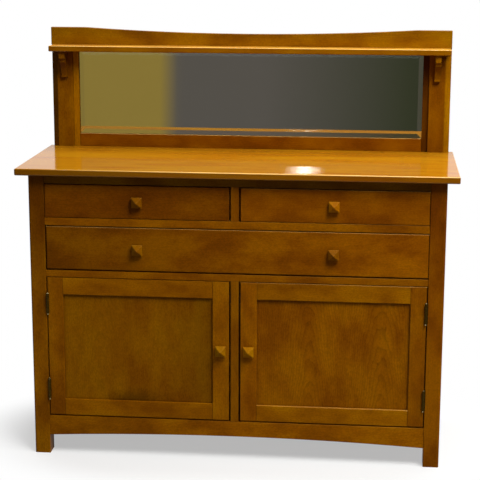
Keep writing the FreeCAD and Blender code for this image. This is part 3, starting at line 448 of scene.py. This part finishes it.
# %% What else is a board's own
STRONG_HIGHLIGHT = 0.7  # share of painted highlight on the upward arrises of some boards
STAVE = 0.22  # width of the staves that panels are glued from
SIDE_PANEL = {"figure": 0.15, "stave": STAVE}
OWN = {
    # painted shade: the front legs darken towards the top, under the overhang of the top
    "front_leg_left": {"drift": ("Z", 0.0, 0.38, "#5b2e00")},
    "front_leg_right": {"drift": ("Z", 0.1, 0.38, "#693400"), "arris_aside": -0.1},
    # painted light: the bottom rail is lighter towards the right, where more light falls
    "front_bottom_rail": {"drift": ("X", -0.4, 0.05, "#945700")},
    "side_panel_left": SIDE_PANEL,
    "side_panel_right": SIDE_PANEL,
    # painted shade on the left post's outer chamfer, which looks away from the light, and painted light on
    # the right post's chamfer, which looks towards it
    "gallery_post_left": {"drift": ("X", -0.019, -0.014, "#774700")},
    "gallery_post_right": {"drift": ("X", 0.014, 0.019, "#8c5a00"), "arris_aside": -0.3},
    # painted shade: the left corbel is darker than the right one
    "corbels": {"drift": ("X", -0.4, 0.4, "#835200")},
    # painted highlight on the upward arrises of the mirror rails
    "mirror_rails": {"bare": STRONG_HIGHLIGHT, "bare_from": -1.2},
    # painted shade: the right mirror stile is darker than the left one
    "mirror_stiles": {"drift": ("X", -0.3, 0.3, "#4e2800")},
    # painted highlight on the upward arrises of the right drawer front
    "right_drawer_front": {"bare": STRONG_HIGHLIGHT, "arris_aside": 0.0},
    # painted light: the long drawer front is lighter towards the right, where more light falls
    "long_drawer_front": {
        "drift": ("X", -0.5, 0.5, "#864a00"), "bare": STRONG_HIGHLIGHT, "bare_from": -1.0, "arris_aside": 0.0,
    },
    "left_door_stiles": {"drift": ("X", -0.2, 0.2, "#8b5200")},
    # painted shade over the upward arrises of the left door's rails
    "left_door_rails": {"arris_above": -0.4},
    # painted shade on the right side of the left door panel, beside its stile
    "left_door_panel": {
        "drift": ("X", 0.05, 0.2, "#734400"), "figure": 0.12, "contrast": 0.19, "stave": STAVE,
    },
    # painted highlights on the upward arrises of the right door
    "right_door_stiles": {"drift": ("X", -0.2, 0.2, "#804800"), "bare": STRONG_HIGHLIGHT},
    "right_door_rails": {"drift": ("Z", 0.35, -0.2, "#935900"), "bare": STRONG_HIGHLIGHT},
    "right_door_panel": {"figure": 0.26, "contrast": 0.24, "stave_middle": -0.086, "stave": STAVE},
}
print(f"{len(OWN)} boards with something of their own")

# %% Stained boards
STAINED_BOARD = {"figure": 0.1, "bare": 0.08, "bare_from": -0.2}  # where they differ from most boards
BOARD_STEP = 0.37  # shift in the log from one board to the next
HELD = 0.007  # how much of a panel its frame hides
MARK_X = -0.02  # the dark mark lies a little left of the panel's middle
TABLE_LACQUER = {"ior": 1.2, "roughness": 0.1, "fleck": 0.06}

for place, (node, (grain, stain)) in enumerate(STAINED.items()):
    own = {**STAINED_BOARD, **OWN.get(node, {})}
    # door panels get painted shade round their rims
    if "door_panel" in node:
        low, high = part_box(node)
        own["shaded_rim"] = ((high.x - low.x) / 2 - HELD, (high.z - low.z) / 2 - HELD)
    if node == "left_door_panel":
        own["mark"] = (MARK_X, 0.0, -own["shaded_rim"][1])
    dress(node, wood(f"stained_maple_{node}", grain, stain, middle_of(node), BOARD_STEP * place, **own))

# the top and the shelf are painted lighter on faces that look up, as light from above, and get a painted
# highlight on their upward and rounded edges
dress("top_board", wood(
    "stained_maple_top_board", ALONG_X_FLAT, "#744300", middle_of("top_board"), 4.4,
    stave=0.165, stave_middle=0.0, figure=0.06, contrast=0.12, cloud=(0.05, 0.1, 0.3),
    faded="#a3690c", drift=("X", -0.6, -0.1, "#824c00"),
    arris_aside=0.0, bare=0.65, bare_from=-0.6, **TABLE_LACQUER,
))
dress("gallery_shelf", wood(
    "stained_maple_gallery_shelf", ALONG_X_FLAT, "#824f00", middle_of("gallery_shelf"), 5.3,
    stave_middle=0.0, figure=0.08, contrast=0.2, faded="#c98c2e",
    arris_aside=0.0, bare=0.5, **TABLE_LACQUER,
))
print(f"{len(STAINED) + 2} stained nodes")

# %% [markdown]
# ## Plain wood inside
# Drawer boxes, runners and the back are never stained. Drawer sides are a pale sealed wood, and what
# carries the drawers or closes the back is raw board with no lacquer at all, so its surface is dull and
# its grain is quiet.

# %% Plain boards
# plain boards get a faint painted highlight on their arrises
QUIET = {"contrast": 0.08, "arris_aside": 0.1}
PALE = {"_sides": ALONG_Y, "_back": ALONG_X, "_bottom": ALONG_X_FLAT}
for place, drawer in enumerate(("left_drawer", "right_drawer", "long_drawer")):
    for ending, grain in PALE.items():
        node = drawer + ending
        dress(node, wood(
            f"sealed_birch_{node}", grain, "#c3a06b", middle_of(node), 5 + place, roughness=0.5, **QUIET,
        ))

RAW = {
    "drawer_runners": ALONG_Y,
    "cupboard_floor": ALONG_X_FLAT,
    "cupboard_shelf": ALONG_X_FLAT,
    "shelf_cleats": ALONG_Y,
    "back_rails": ALONG_X,
    "back_panel": ALONG_Z,
    "mirror_backboard": ALONG_X,
}
for place, (node, grain) in enumerate(RAW.items()):
    dress(node, wood(
        f"raw_poplar_{node}", grain, "#c4a274", middle_of(node), 9 + 0.6 * place, roughness=0.62, **QUIET,
    ))
print(f"{3 * len(PALE) + len(RAW)} plain nodes")

# %% [markdown]
# ## Metals and the catch
# The hinge leaves are brass that has gone dark with age, brown with a dull yellow shine, while the pins
# between them are rubbed bright. Straps and strike plates are plain rolled steel, and the screws are
# blued steel. The magnetic catch is moulded brown plastic, a little rough. All are the same two ideas,
# a base colour broken by noise and a roughness broken by the same noise, so one short function makes
# them.

# %% Metal and plastic finishes
METAL_EDGE = 0.0005  # radius of an edge that has been filed
METAL_RELIEF = 0.0001  # height of its unevenness


def mottled(name, dark, light, grain_size, metallic, roughness):
    """A surface with a cloudy colour and shine."""
    material, tree, shader = new_finish(name)
    noise = add(tree, "ShaderNodeTexNoise", {
        "Vector": add(tree, "ShaderNodeTexCoord").outputs["Object"],
        "Scale": 1 / grain_size,
        "Detail": 4.0,
    }).outputs["Fac"]
    colour = add(tree, "ShaderNodeMix", {
        0: noise, MIX_A: paint(dark), MIX_B: paint(light),
    }, data_type="RGBA")
    tree.links.new(colour.outputs[MIXED], shader.inputs["Base Color"])
    shine = add(tree, "ShaderNodeMapRange", {
        "Value": noise, "From Min": 0.3, "From Max": 0.7,
        "To Min": roughness + 0.1, "To Max": roughness - 0.1,
    })
    tree.links.new(shine.outputs[0], shader.inputs["Roughness"])
    edge_normal = add(tree, "ShaderNodeBevel", {"Radius": METAL_EDGE}, samples=4).outputs[0]
    relief = add(tree, "ShaderNodeBump", {
        "Strength": 0.2, "Distance": METAL_RELIEF, "Height": noise, "Normal": edge_normal,
    })
    tree.links.new(relief.outputs[0], shader.inputs["Normal"])
    shader.inputs["Metallic"].default_value = metallic
    return material


old_brass = mottled("antique_brass", "#221703", "#4c380f", 0.006, 1.0, 0.5)
rubbed_brass = mottled("rubbed_brass", "#8a7440", "#d8c89a", 0.004, 1.0, 0.25)
steel = mottled("rolled_steel", "#8b8984", "#b4b2ac", 0.012, 1.0, 0.38)
dark_steel = mottled("blued_steel", "#3b362e", "#6d675d", 0.003, 1.0, 0.4)
brown_plastic = mottled("brown_plastic", "#2c1d11", "#3c2a19", 0.002, 0.0, 0.5)
for node in ("hinge_case_leaves", "left_door_hinge_leaves", "right_door_hinge_leaves"):
    dress(node, old_brass)
dress("hinge_pins", rubbed_brass)
dress("gallery_straps", steel)
dress("door_catch", brown_plastic)
print("brass, steel and plastic are on")

# %% [markdown]
# ## Pyramid knobs
# Each knob is a square block with a low pyramid cut on its front, on a round neck that is glued into
# the wood. There are six, all alike, so the shape is written once as a Geometry Nodes tree with its
# sizes as inputs: a block, a face drawn out and shrunk to a blunt tip, a neck and a spigot. Instances
# are set on one point for each knob. The result is turned into a plain mesh for each drawer or door,
# and a narrow bevel softens the edges that fingers touch.

# %% Knob tree
KNOB_SIZES = {
    "Width": 0.032, "Edge": 0.008, "Peak": 0.012, "Tip": 0.0015,
    "Neck Radius": 0.009, "Neck Length": 0.005, "Spigot Radius": 0.005, "Spigot Length": 0.02,
}
STEM_SIDES = 32


def new_tree(name, sizes):
    """A Geometry Nodes tree with a named input for each size and one for the finish."""
    tree = bpy.data.node_groups.new(name, "GeometryNodeTree")
    tree.interface.new_socket("Geometry", in_out="INPUT", socket_type="NodeSocketGeometry")
    for size in sizes:
        tree.interface.new_socket(size, in_out="INPUT", socket_type="NodeSocketFloat")
    tree.interface.new_socket("Finish", in_out="INPUT", socket_type="NodeSocketMaterial")
    tree.interface.new_socket("Geometry", in_out="OUTPUT", socket_type="NodeSocketGeometry")
    return tree, add(tree, "NodeGroupInput").outputs


knob_tree, size = new_tree("pyramid_knobs", KNOB_SIZES)
block_size = add(knob_tree, "ShaderNodeCombineXYZ", {0: size["Width"], 1: size["Width"], 2: size["Edge"]})
block = add(knob_tree, "GeometryNodeMeshCube", {"Size": block_size.outputs[0]})
normal = add(knob_tree, "GeometryNodeInputNormal").outputs[0]
rise = add(knob_tree, "ShaderNodeSeparateXYZ", {0: normal}).outputs["Z"]
front_face = add(knob_tree, "FunctionNodeCompare", {0: rise, 1: 0.9}, operation="GREATER_THAN")
peak = add(knob_tree, "GeometryNodeExtrudeMesh", {
    "Mesh": block.outputs["Mesh"], "Selection": front_face.outputs[0], "Offset Scale": size["Peak"],
})
shrink = add(knob_tree, "ShaderNodeMath", {0: size["Tip"], 1: size["Width"]}, operation="DIVIDE")
pyramid = add(knob_tree, "GeometryNodeScaleElements", {
    "Geometry": peak.outputs["Mesh"], "Selection": peak.outputs["Top"], "Scale": shrink.outputs[0],
})
block_middle = add(knob_tree, "ShaderNodeMath", {
    0: size["Edge"], 1: 0.5, 2: size["Neck Length"],
}, operation="MULTIPLY_ADD")
lifted = add(knob_tree, "GeometryNodeTransform", {
    "Geometry": pyramid.outputs[0],
    "Translation": add(knob_tree, "ShaderNodeCombineXYZ", {2: block_middle.outputs[0]}).outputs[0],
})
parts = add(knob_tree, "GeometryNodeJoinGeometry")
knob_tree.links.new(lifted.outputs[0], parts.inputs[0])
for stem_part, way in (("Neck", 0.5), ("Spigot", -0.5)):
    length = size[f"{stem_part} Length"]
    stem = add(knob_tree, "GeometryNodeMeshCylinder", {
        "Vertices": STEM_SIDES, "Radius": size[f"{stem_part} Radius"], "Depth": length,
    })
    stem_middle = add(knob_tree, "ShaderNodeMath", {0: length, 1: way}, operation="MULTIPLY")
    moved = add(knob_tree, "GeometryNodeTransform", {
        "Geometry": stem.outputs["Mesh"],
        "Translation": add(knob_tree, "ShaderNodeCombineXYZ", {2: stem_middle.outputs[0]}).outputs[0],
    })
    knob_tree.links.new(moved.outputs[0], parts.inputs[0])
knobs = add(knob_tree, "GeometryNodeInstanceOnPoints", {
    "Points": size["Geometry"], "Instance": parts.outputs[0], "Rotation": (math.radians(90), 0.0, 0.0),
})
knobs = add(knob_tree, "GeometryNodeRealizeInstances", {0: knobs.outputs[0]})
knobs = add(knob_tree, "GeometryNodeSetMaterial", {
    "Geometry": knobs.outputs[0], "Material": size["Finish"],
})
add(knob_tree, "NodeGroupOutput", {0: knobs.outputs[0]})
print(f"knob tree of {len(knob_tree.nodes)} nodes")

# %% [markdown]
# ## Setting a tree's copies in their places
# A helper makes an object with one bare point for each copy, gives it the tree as a modifier, sets the
# inputs by their identifiers, and keeps only the finished mesh. Instances would be lost on export, and
# a plain mesh isn't.

# %% Copies on points
def grow(name, tree, points, sizes, finish, facing=None):
    """A plain mesh object with the tree's copies on the points."""
    mesh = bpy.data.meshes.new(name)
    mesh.from_pydata(points, [], [])
    if facing:
        ways = mesh.attributes.new("facing", "FLOAT_VECTOR", "POINT")
        ways.data.foreach_set("vector", sum(map(list, facing), []))
    grown = bpy.data.objects.new(name, mesh)
    scene.collection.objects.link(grown)
    modifier = grown.modifiers.new("copies", "NODES")
    modifier.node_group = tree
    for item in tree.interface.items_tree:
        if item.in_out == "INPUT" and item.name in sizes:
            modifier[item.identifier] = sizes[item.name]
        elif item.name == "Finish":
            modifier[item.identifier] = finish
    bpy.context.view_layer.update()
    evaluated = grown.evaluated_get(bpy.context.evaluated_depsgraph_get())
    plain = bpy.data.meshes.new_from_object(evaluated)
    grown.modifiers.clear()
    grown.data = plain
    plain.name = name
    return grown


def soften(piece, width):
    """A narrow bevel along the sharp edges of a piece."""
    bevel = piece.modifiers.new("softened edges", "BEVEL")
    bevel.width = width
    bevel.segments = 2
    bevel.limit_method = "ANGLE"
    bevel.angle_limit = math.radians(35)


def knob_points(node, count):
    """Where a knob's neck meets the wood, from the box of its node."""
    low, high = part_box(node)
    half = KNOB_SIZES["Width"] / 2
    face_y = low.y + KNOB_SIZES["Peak"] + KNOB_SIZES["Edge"] + KNOB_SIZES["Neck Length"]
    across = [low.x + half] if count == 1 else [low.x + half, high.x - half]
    return [(x, face_y, (low.z + high.z) / 2) for x in across]


print("copies become one plain mesh for each body")

# %% Knobs in their places
KNOB_EDGE = 0.0006  # width of the bevel on a knob's edges
# each knob's stain, painted lighter where more light falls, on the right and lower down
KNOB_STAIN_AND_LIGHT = {
    "left_drawer": "#754700", "right_drawer": "#985c00", "long_drawer": "#7c4c00",
    "left_door": "#8f5c00", "right_door": "#9a6300",
}
for body, stain in KNOB_STAIN_AND_LIGHT.items():
    node = f"{body}_knobs" if body == "long_drawer" else f"{body}_knob"
    # the knobs' arrises that look aside get a painted highlight
    knob_wood = wood(
        f"stained_maple_{node}", ALONG_Z, stain, shift=2.9, roughness=0.4, contrast=0.1, arris_aside=0.3,
    )
    places = knob_points(node, 2 if body == "long_drawer" else 1)
    knob = grow(f"{node}_softened", knob_tree, places, KNOB_SIZES, knob_wood)
    soften(knob, KNOB_EDGE)
    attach(knob, body)
    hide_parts(node)
    print(node, [tuple(round(part, 4) for part in place) for place in places])

# %% [markdown]
# ## Slotted screws
# Hinges and straps are held by countersunk screws with a straight slot, and the hand that drove them
# left every slot at its own angle. A boolean cut in a Geometry Nodes tree makes the slot once, and a
# random turn with a fixed seed sets each copy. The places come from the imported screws: a copy of their
# mesh is merged and taken apart into loose pieces, and each piece's long axis and wide end say where a
# screw sits and which way its head looks.

# %% Screw tree
SCREW_SIZES = {
    "Head Radius": 0.003, "Shank Radius": 0.0015, "Head Depth": 0.0015,
    "Slot Width": 0.0008, "Slot Depth": 0.0007,
}
HEAD_SIDES = 24
SLOT_SEED = 11

screw_tree, size = new_tree("slotted_screws", SCREW_SIZES)
head = add(screw_tree, "GeometryNodeMeshCone", {
    "Vertices": HEAD_SIDES, "Radius Top": size["Head Radius"], "Radius Bottom": size["Shank Radius"],
    "Depth": size["Head Depth"],
})
sunk = add(screw_tree, "ShaderNodeMath", {0: size["Head Depth"], 1: -1.0}, operation="MULTIPLY")
head = add(screw_tree, "GeometryNodeTransform", {
    "Geometry": head.outputs["Mesh"],
    "Translation": add(screw_tree, "ShaderNodeCombineXYZ", {2: sunk.outputs[0]}).outputs[0],
})
slot_long = add(screw_tree, "ShaderNodeMath", {0: size["Head Radius"], 1: 3.0}, operation="MULTIPLY")
slot_deep = add(screw_tree, "ShaderNodeMath", {0: size["Slot Depth"], 1: 2.0}, operation="MULTIPLY")
slot_size = add(screw_tree, "ShaderNodeCombineXYZ", {
    0: slot_long.outputs[0], 1: size["Slot Width"], 2: slot_deep.outputs[0],
})
slot = add(screw_tree, "GeometryNodeMeshCube", {"Size": slot_size.outputs[0]})
slotted = add(screw_tree, "GeometryNodeMeshBoolean", {
    "Mesh 1": head.outputs[0], "Mesh 2": slot.outputs["Mesh"],
}, operation="DIFFERENCE")
facing = add(screw_tree, "GeometryNodeInputNamedAttribute", {"Name": "facing"}, data_type="FLOAT_VECTOR")
aim = add(screw_tree, "FunctionNodeAlignRotationToVector", {
    "Vector": facing.outputs["Attribute"],
}, axis="Z")
screws = add(screw_tree, "GeometryNodeInstanceOnPoints", {
    "Points": size["Geometry"], "Instance": slotted.outputs["Mesh"], "Rotation": aim.outputs[0],
})
driven = add(screw_tree, "FunctionNodeRandomValue", {
    "Max": (0.0, 0.0, math.pi), "Seed": SLOT_SEED,
}, data_type="FLOAT_VECTOR")
screws = add(screw_tree, "GeometryNodeRotateInstances", {
    "Instances": screws.outputs[0], "Rotation": driven.outputs[0], "Local Space": True,
})
screws = add(screw_tree, "GeometryNodeRealizeInstances", {0: screws.outputs[0]})
screws = add(screw_tree, "GeometryNodeSetMaterial", {
    "Geometry": screws.outputs[0], "Material": size["Finish"],
})
add(screw_tree, "NodeGroupOutput", {0: screws.outputs[0]})
print(f"screw tree of {len(screw_tree.nodes)} nodes")

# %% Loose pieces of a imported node
MERGE = 1e-6  # points closer than this are one point
SCREWED = {"case": "case_screws", "left_door": "left_door_fixings", "right_door": "right_door_fixings"}


def loose_pieces(node):
    """The lists of points of a node's separate solids, from a merged copy of its mesh."""
    copy = bmesh.new()
    copy.from_mesh(boards[node].data)
    bmesh.ops.remove_doubles(copy, verts=copy.verts, dist=MERGE)
    waiting = set(copy.verts)
    found = []
    for start in copy.verts:
        if start not in waiting:
            continue
        waiting.remove(start)
        reached = [start]
        for vertex in reached:
            for edge in vertex.link_edges:
                other = edge.other_vert(vertex)
                if other in waiting:
                    waiting.remove(other)
                    reached.append(other)
        found.append([vertex.co.copy() for vertex in reached])
    copy.free()
    return found


loose = {node: loose_pieces(node) for node in SCREWED.values()}
for node, pieces in loose.items():
    print(node, len(pieces), "loose pieces")

# %% Screws and plates among the loose pieces
STRIKE_DEPTH = 0.002  # a strike plate is thinner than this from front to back, and a screw isn't


def corners(points):
    """The lowest and highest corners of some points."""
    return [Vector([pick(point[axis] for point in points) for axis in range(3)]) for pick in (min, max)]


def is_plate(points):
    """Tells a strike plate from a screw."""
    low, high = corners(points)
    return high.y - low.y < STRIKE_DEPTH


def screw_place(points):
    """The middle of a screw's head, and the way it looks."""
    low, high = corners(points)
    span = high - low
    axis = max(range(3), key=lambda place: span[place])
    sides = [other for other in range(3) if other != axis]
    centre = (low + high) / 2
    wide = max(points, key=lambda point: sum((point[side] - centre[side]) ** 2 for side in sides))
    sign = 1 if wide[axis] > centre[axis] else -1
    centre[axis] = high[axis] if sign > 0 else low[axis]
    looks = Vector((0, 0, 0))
    looks[axis] = sign
    return centre, looks


print(sum(is_plate(points) for pieces in loose.values() for points in pieces), "strike plates")

# %% Screws in their places
PLATE_CORNER, PLATE_SEGMENTS = 0.003, 4  # radius of a plate's corners, and the steps round one


def add_plate(piece, points, finish):
    """Adds a thin plate with rounded corners to a piece's mesh."""
    low, high = corners(points)
    plate = bmesh.new()
    plate.from_mesh(piece.data)
    made = bmesh.ops.create_cube(plate, size=1.0)["verts"]
    bmesh.ops.scale(plate, vec=high - low, verts=made)
    bmesh.ops.translate(plate, vec=(low + high) / 2, verts=made)
    thin_edges = dict.fromkeys(
        edge for vertex in made for edge in vertex.link_edges
        if abs((edge.verts[0].co - edge.verts[1].co).y) > MERGE
    )
    faces = bmesh.ops.bevel(
        plate, geom=list(thin_edges), offset=PLATE_CORNER, segments=PLATE_SEGMENTS, affect="EDGES",
    )["faces"]
    piece.data.materials.append(finish)
    for face in {face for vertex in made if vertex.is_valid for face in vertex.link_faces} | set(faces):
        face.material_index = len(piece.data.materials) - 1
    plate.to_mesh(piece.data)
    plate.free()


for body, node in SCREWED.items():
    plates = [points for points in loose[node] if is_plate(points)]
    screws_here = [screw_place(points) for points in loose[node] if not is_plate(points)]
    screw_set = grow(
        f"{node}_slotted", screw_tree, [place for place, looks in screws_here], SCREW_SIZES, dark_steel,
        facing=[looks for place, looks in screws_here],
    )
    for points in plates:
        add_plate(screw_set, points, steel)
    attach(screw_set, body)
    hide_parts(node)
    print(node, len(screws_here), "screws,", len(plates), "plates")

# %% [markdown]
# ## The bevelled mirror
# A looking glass is a sheet of clear glass with silver on its back, and the wide bevel round its front
# is a prism: it shifts what it shows towards the middle of the room. A shiny metal sheet with the same
# bevel would shift it the other way, so the pane is made as it really is. A merged copy of the packed
# glass gets two finishes, clear glass in front and silver on the one face that looks to the back.

# %% Glass and silver
SMEAR = 0.05  # size of the faint smears that a cloth leaves
TARNISH = 0.4  # size of the slight changes in the silver

glass, tree, shader = new_finish("clear_glass")
shader.inputs["Base Color"].default_value = paint("#f4f8f3")
shader.inputs["Transmission Weight"].default_value = 1.0
shader.inputs["IOR"].default_value = 1.52
smears = add(tree, "ShaderNodeTexNoise", {
    "Vector": add(tree, "ShaderNodeTexCoord").outputs["Object"], "Scale": 1 / SMEAR, "Detail": 4.0,
})
haze = add(tree, "ShaderNodeMapRange", {
    "Value": smears.outputs["Fac"], "From Min": 0.55, "From Max": 0.8, "To Min": 0.0, "To Max": 0.012,
})
tree.links.new(haze.outputs[0], shader.inputs["Roughness"])

silver, tree, shader = new_finish("mirror_silver")
tarnish = add(tree, "ShaderNodeTexNoise", {
    "Vector": add(tree, "ShaderNodeTexCoord").outputs["Object"], "Scale": 1 / TARNISH, "Detail": 4.0,
})
colour = add(tree, "ShaderNodeMix", {
    0: tarnish.outputs["Fac"], MIX_A: paint("#e4e4df"), MIX_B: paint("#eeeeea"),
}, data_type="RGBA")
tree.links.new(colour.outputs[MIXED], shader.inputs["Base Color"])
shader.inputs["Metallic"].default_value = 1.0
shader.inputs["Roughness"].default_value = 0.0
print("clear glass and silver")

# %% Mirror
SILVER_GAP = 0.0003  # the silver lies just clear of the backboard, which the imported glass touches
FLAT = math.radians(0.5)  # faces that meet at less than this are one face
AT_REAR = 1e-5  # points this close to the rearmost one lie on the rear face
CLEAR, SILVERED = 0, 1  # places of the two finishes on the mirror

pane = bmesh.new()
pane.from_mesh(boards["mirror_glass"].data)
bmesh.ops.remove_doubles(pane, verts=pane.verts, dist=MERGE)
bmesh.ops.dissolve_limit(pane, angle_limit=FLAT, verts=pane.verts, edges=pane.edges)
rear = max(vertex.co.y for vertex in pane.verts)
for vertex in pane.verts:
    if rear - vertex.co.y < AT_REAR:
        vertex.co.y -= SILVER_GAP
for face in pane.faces:
    face.material_index = SILVERED if face.normal.y > 0.9 else CLEAR
    face.smooth = False
mirror_mesh = bpy.data.meshes.new("silvered_mirror")
pane.to_mesh(mirror_mesh)
pane.free()
mirror_mesh.materials.append(glass)
mirror_mesh.materials.append(silver)
mirror = bpy.data.objects.new("silvered_mirror", mirror_mesh)
scene.collection.objects.link(mirror)
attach(mirror, "case")
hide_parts("mirror_glass")
print(f"mirror of {len(mirror_mesh.polygons)} faces")

# %% [markdown]
# ## The studio
# The piece stands on a plain pale floor that keeps its shadow. Further off the floor turns to pure
# white for the camera and for anything shiny, so no edge of it shows. The side of the studio behind the
# camera is dim and warm, because the looking glass shows that side. Five lamps do the rest: a key lamp
# high on the right, whose shadows fall to the lower left of each knob, a broad soft lamp overhead that
# brightens the top, a smaller one on the right, and a small far lamp with a dim halo round it, which
# leave a glint on the top.

# %% Floor
FLOOR_RADIUS = 5.0
WHITE_FROM, WHITE_AT = 0.62, 0.95  # distances between which the floor turns white
NEAR_SHARE = 0.45  # how much of that white is there already near the middle
FOOTPRINT = (1.0, 1.5, 1.0)  # the piece is wide and shallow, so the pale patch under it is too

floor_mesh = bpy.data.meshes.new("floor")
disc = bmesh.new()
bmesh.ops.create_circle(disc, cap_ends=True, segments=96, radius=FLOOR_RADIUS)
disc.to_mesh(floor_mesh)
disc.free()
floor = bpy.data.objects.new("floor", floor_mesh)
scene.collection.objects.link(floor)
pale, tree, shader = new_finish("pale_floor")
shader.inputs["Roughness"].default_value = 0.9
shader.inputs["IOR"].default_value = 1.1
footprint = add(tree, "ShaderNodeMapping", {
    "Vector": add(tree, "ShaderNodeTexCoord").outputs["Object"], "Scale": FOOTPRINT,
})
distance = add(tree, "ShaderNodeVectorMath", {0: footprint.outputs[0]}, operation="LENGTH")
away = add(tree, "ShaderNodeMapRange", {
    "Value": distance.outputs["Value"], "From Min": WHITE_FROM, "From Max": WHITE_AT, "To Min": NEAR_SHARE,
}, interpolation_type="SMOOTHSTEP")
rays = add(tree, "ShaderNodeLightPath").outputs
shiny = add(tree, "ShaderNodeMath", {
    0: rays["Is Glossy Ray"], 1: rays["Is Transmission Ray"],
}, operation="MAXIMUM")
seen = add(tree, "ShaderNodeMath", {0: shiny.outputs[0], 1: rays["Is Camera Ray"]}, operation="MAXIMUM")
colour = add(tree, "ShaderNodeMix", {
    0: seen.outputs[0], MIX_A: paint("#7c7a76"), MIX_B: paint("#e8e8e6"),
}, data_type="RGBA")
tree.links.new(colour.outputs[MIXED], shader.inputs["Base Color"])
share = add(tree, "ShaderNodeMath", {0: away.outputs[0], 1: seen.outputs[0]}, operation="MULTIPLY")
white = add(tree, "ShaderNodeEmission", {"Color": paint("#ffffff"), "Strength": 1.0})
mixed = add(tree, "ShaderNodeMixShader", {0: share.outputs[0], 1: shader.outputs[0], 2: white.outputs[0]})
tree.links.new(mixed.outputs[0], tree.nodes["Material Output"].inputs["Surface"])
floor_mesh.materials.append(pale)
print(f"floor disc of {FLOOR_RADIUS:.0f} m radius")

# %% World
WALLS = (  # how far to the side a ray looks, and the colour of the wall there
    (-0.25, "#30312b"), (-0.225, "#97803f"), (-0.152, "#97803f"), (-0.14, "#605a56"), (-0.08, "#605a56"),
    (0.02, "#3c3e2e"), (0.05, "#34362a"),
)
CEILING = "#5a544c"
BEHIND = "#ffffff"
FILL = 0.13  # strength of the white light from all round

world = bpy.data.worlds.new("studio")
scene.world = world
world.use_nodes = True
tree = world.node_tree
generated = add(tree, "ShaderNodeTexCoord").outputs["Generated"]
direction = add(tree, "ShaderNodeSeparateXYZ", {0: generated}).outputs
sideways = add(tree, "ShaderNodeMapRange", {"Value": direction["X"], "From Min": -0.5, "From Max": 0.5})
walls = add(tree, "ShaderNodeValToRGB", {0: sideways.outputs[0]})
stops = walls.color_ramp.elements
stops[0].color = paint(WALLS[0][1])
stops[1].color = paint(WALLS[-1][1])
for place, code in WALLS:
    stops.new(place + 0.5).color = paint(code)
upward = add(tree, "ShaderNodeMapRange", {"Value": direction["Z"], "From Min": 0.0, "From Max": 0.12})
behind = add(tree, "ShaderNodeMapRange", {"Value": direction["Y"], "From Min": -0.05, "From Max": 0.15})
room = walls.outputs[0]
for share, code in ((upward, CEILING), (behind, BEHIND)):
    room = add(tree, "ShaderNodeMix", {
        0: share.outputs[0], MIX_A: room, MIX_B: paint(code),
    }, data_type="RGBA").outputs[MIXED]
rays = add(tree, "ShaderNodeLightPath").outputs
shiny = add(tree, "ShaderNodeMath", {
    0: rays["Is Glossy Ray"], 1: rays["Is Transmission Ray"],
}, operation="MAXIMUM")
light = add(tree, "ShaderNodeMix", {
    0: shiny.outputs[0], MIX_A: paint("#ffffff", FILL), MIX_B: room,
}, data_type="RGBA")
sky = add(tree, "ShaderNodeMix", {
    0: rays["Is Camera Ray"], MIX_A: light.outputs[MIXED], MIX_B: paint("#ffffff"),
}, data_type="RGBA")
tree.links.new(sky.outputs[MIXED], tree.nodes["Background"].inputs["Color"])
print("white behind the piece, a dim room in front of it")

# %% Lamps
LAMPS = {  # place, aim, the lengths of the two sides, and the power in watts
    "key": ((1.66, -2.35, 4.2), (0.0, -0.2, 0.6), (1.8, 1.8), 190.0),
    "top light": ((0.1, 0.35, 3.2), (0.1, 0.35, 0.0), (2.4, 0.8), 58.0),
    "right light": ((2.2, -0.8, 3.0), (0.3, -0.2, 0.6), (1.0, 1.0), 50.0),
    "glint": ((-0.25, -8.0, 2.357), (0.2, 0.24, 0.98), (0.13, 0.08), 4.5),
    "glint halo": ((-0.25, -8.05, 2.35), (0.2, 0.24, 0.98), (0.3, 0.14), 0.6),
}
for name, (place, aim, sides, power) in LAMPS.items():
    lamp = bpy.data.lights.new(name, "AREA")
    lamp.shape = "ELLIPSE" if "glint" in name else "RECTANGLE"
    lamp.size, lamp.size_y = sides
    lamp.energy = power
    holder = bpy.data.objects.new(name, lamp)
    holder.location = place
    holder.rotation_euler = (Vector(aim) - Vector(place)).to_track_quat("-Z", "Y").to_euler()
    holder.visible_camera = False
    scene.collection.objects.link(holder)
print(f"{len(LAMPS)} lamps")
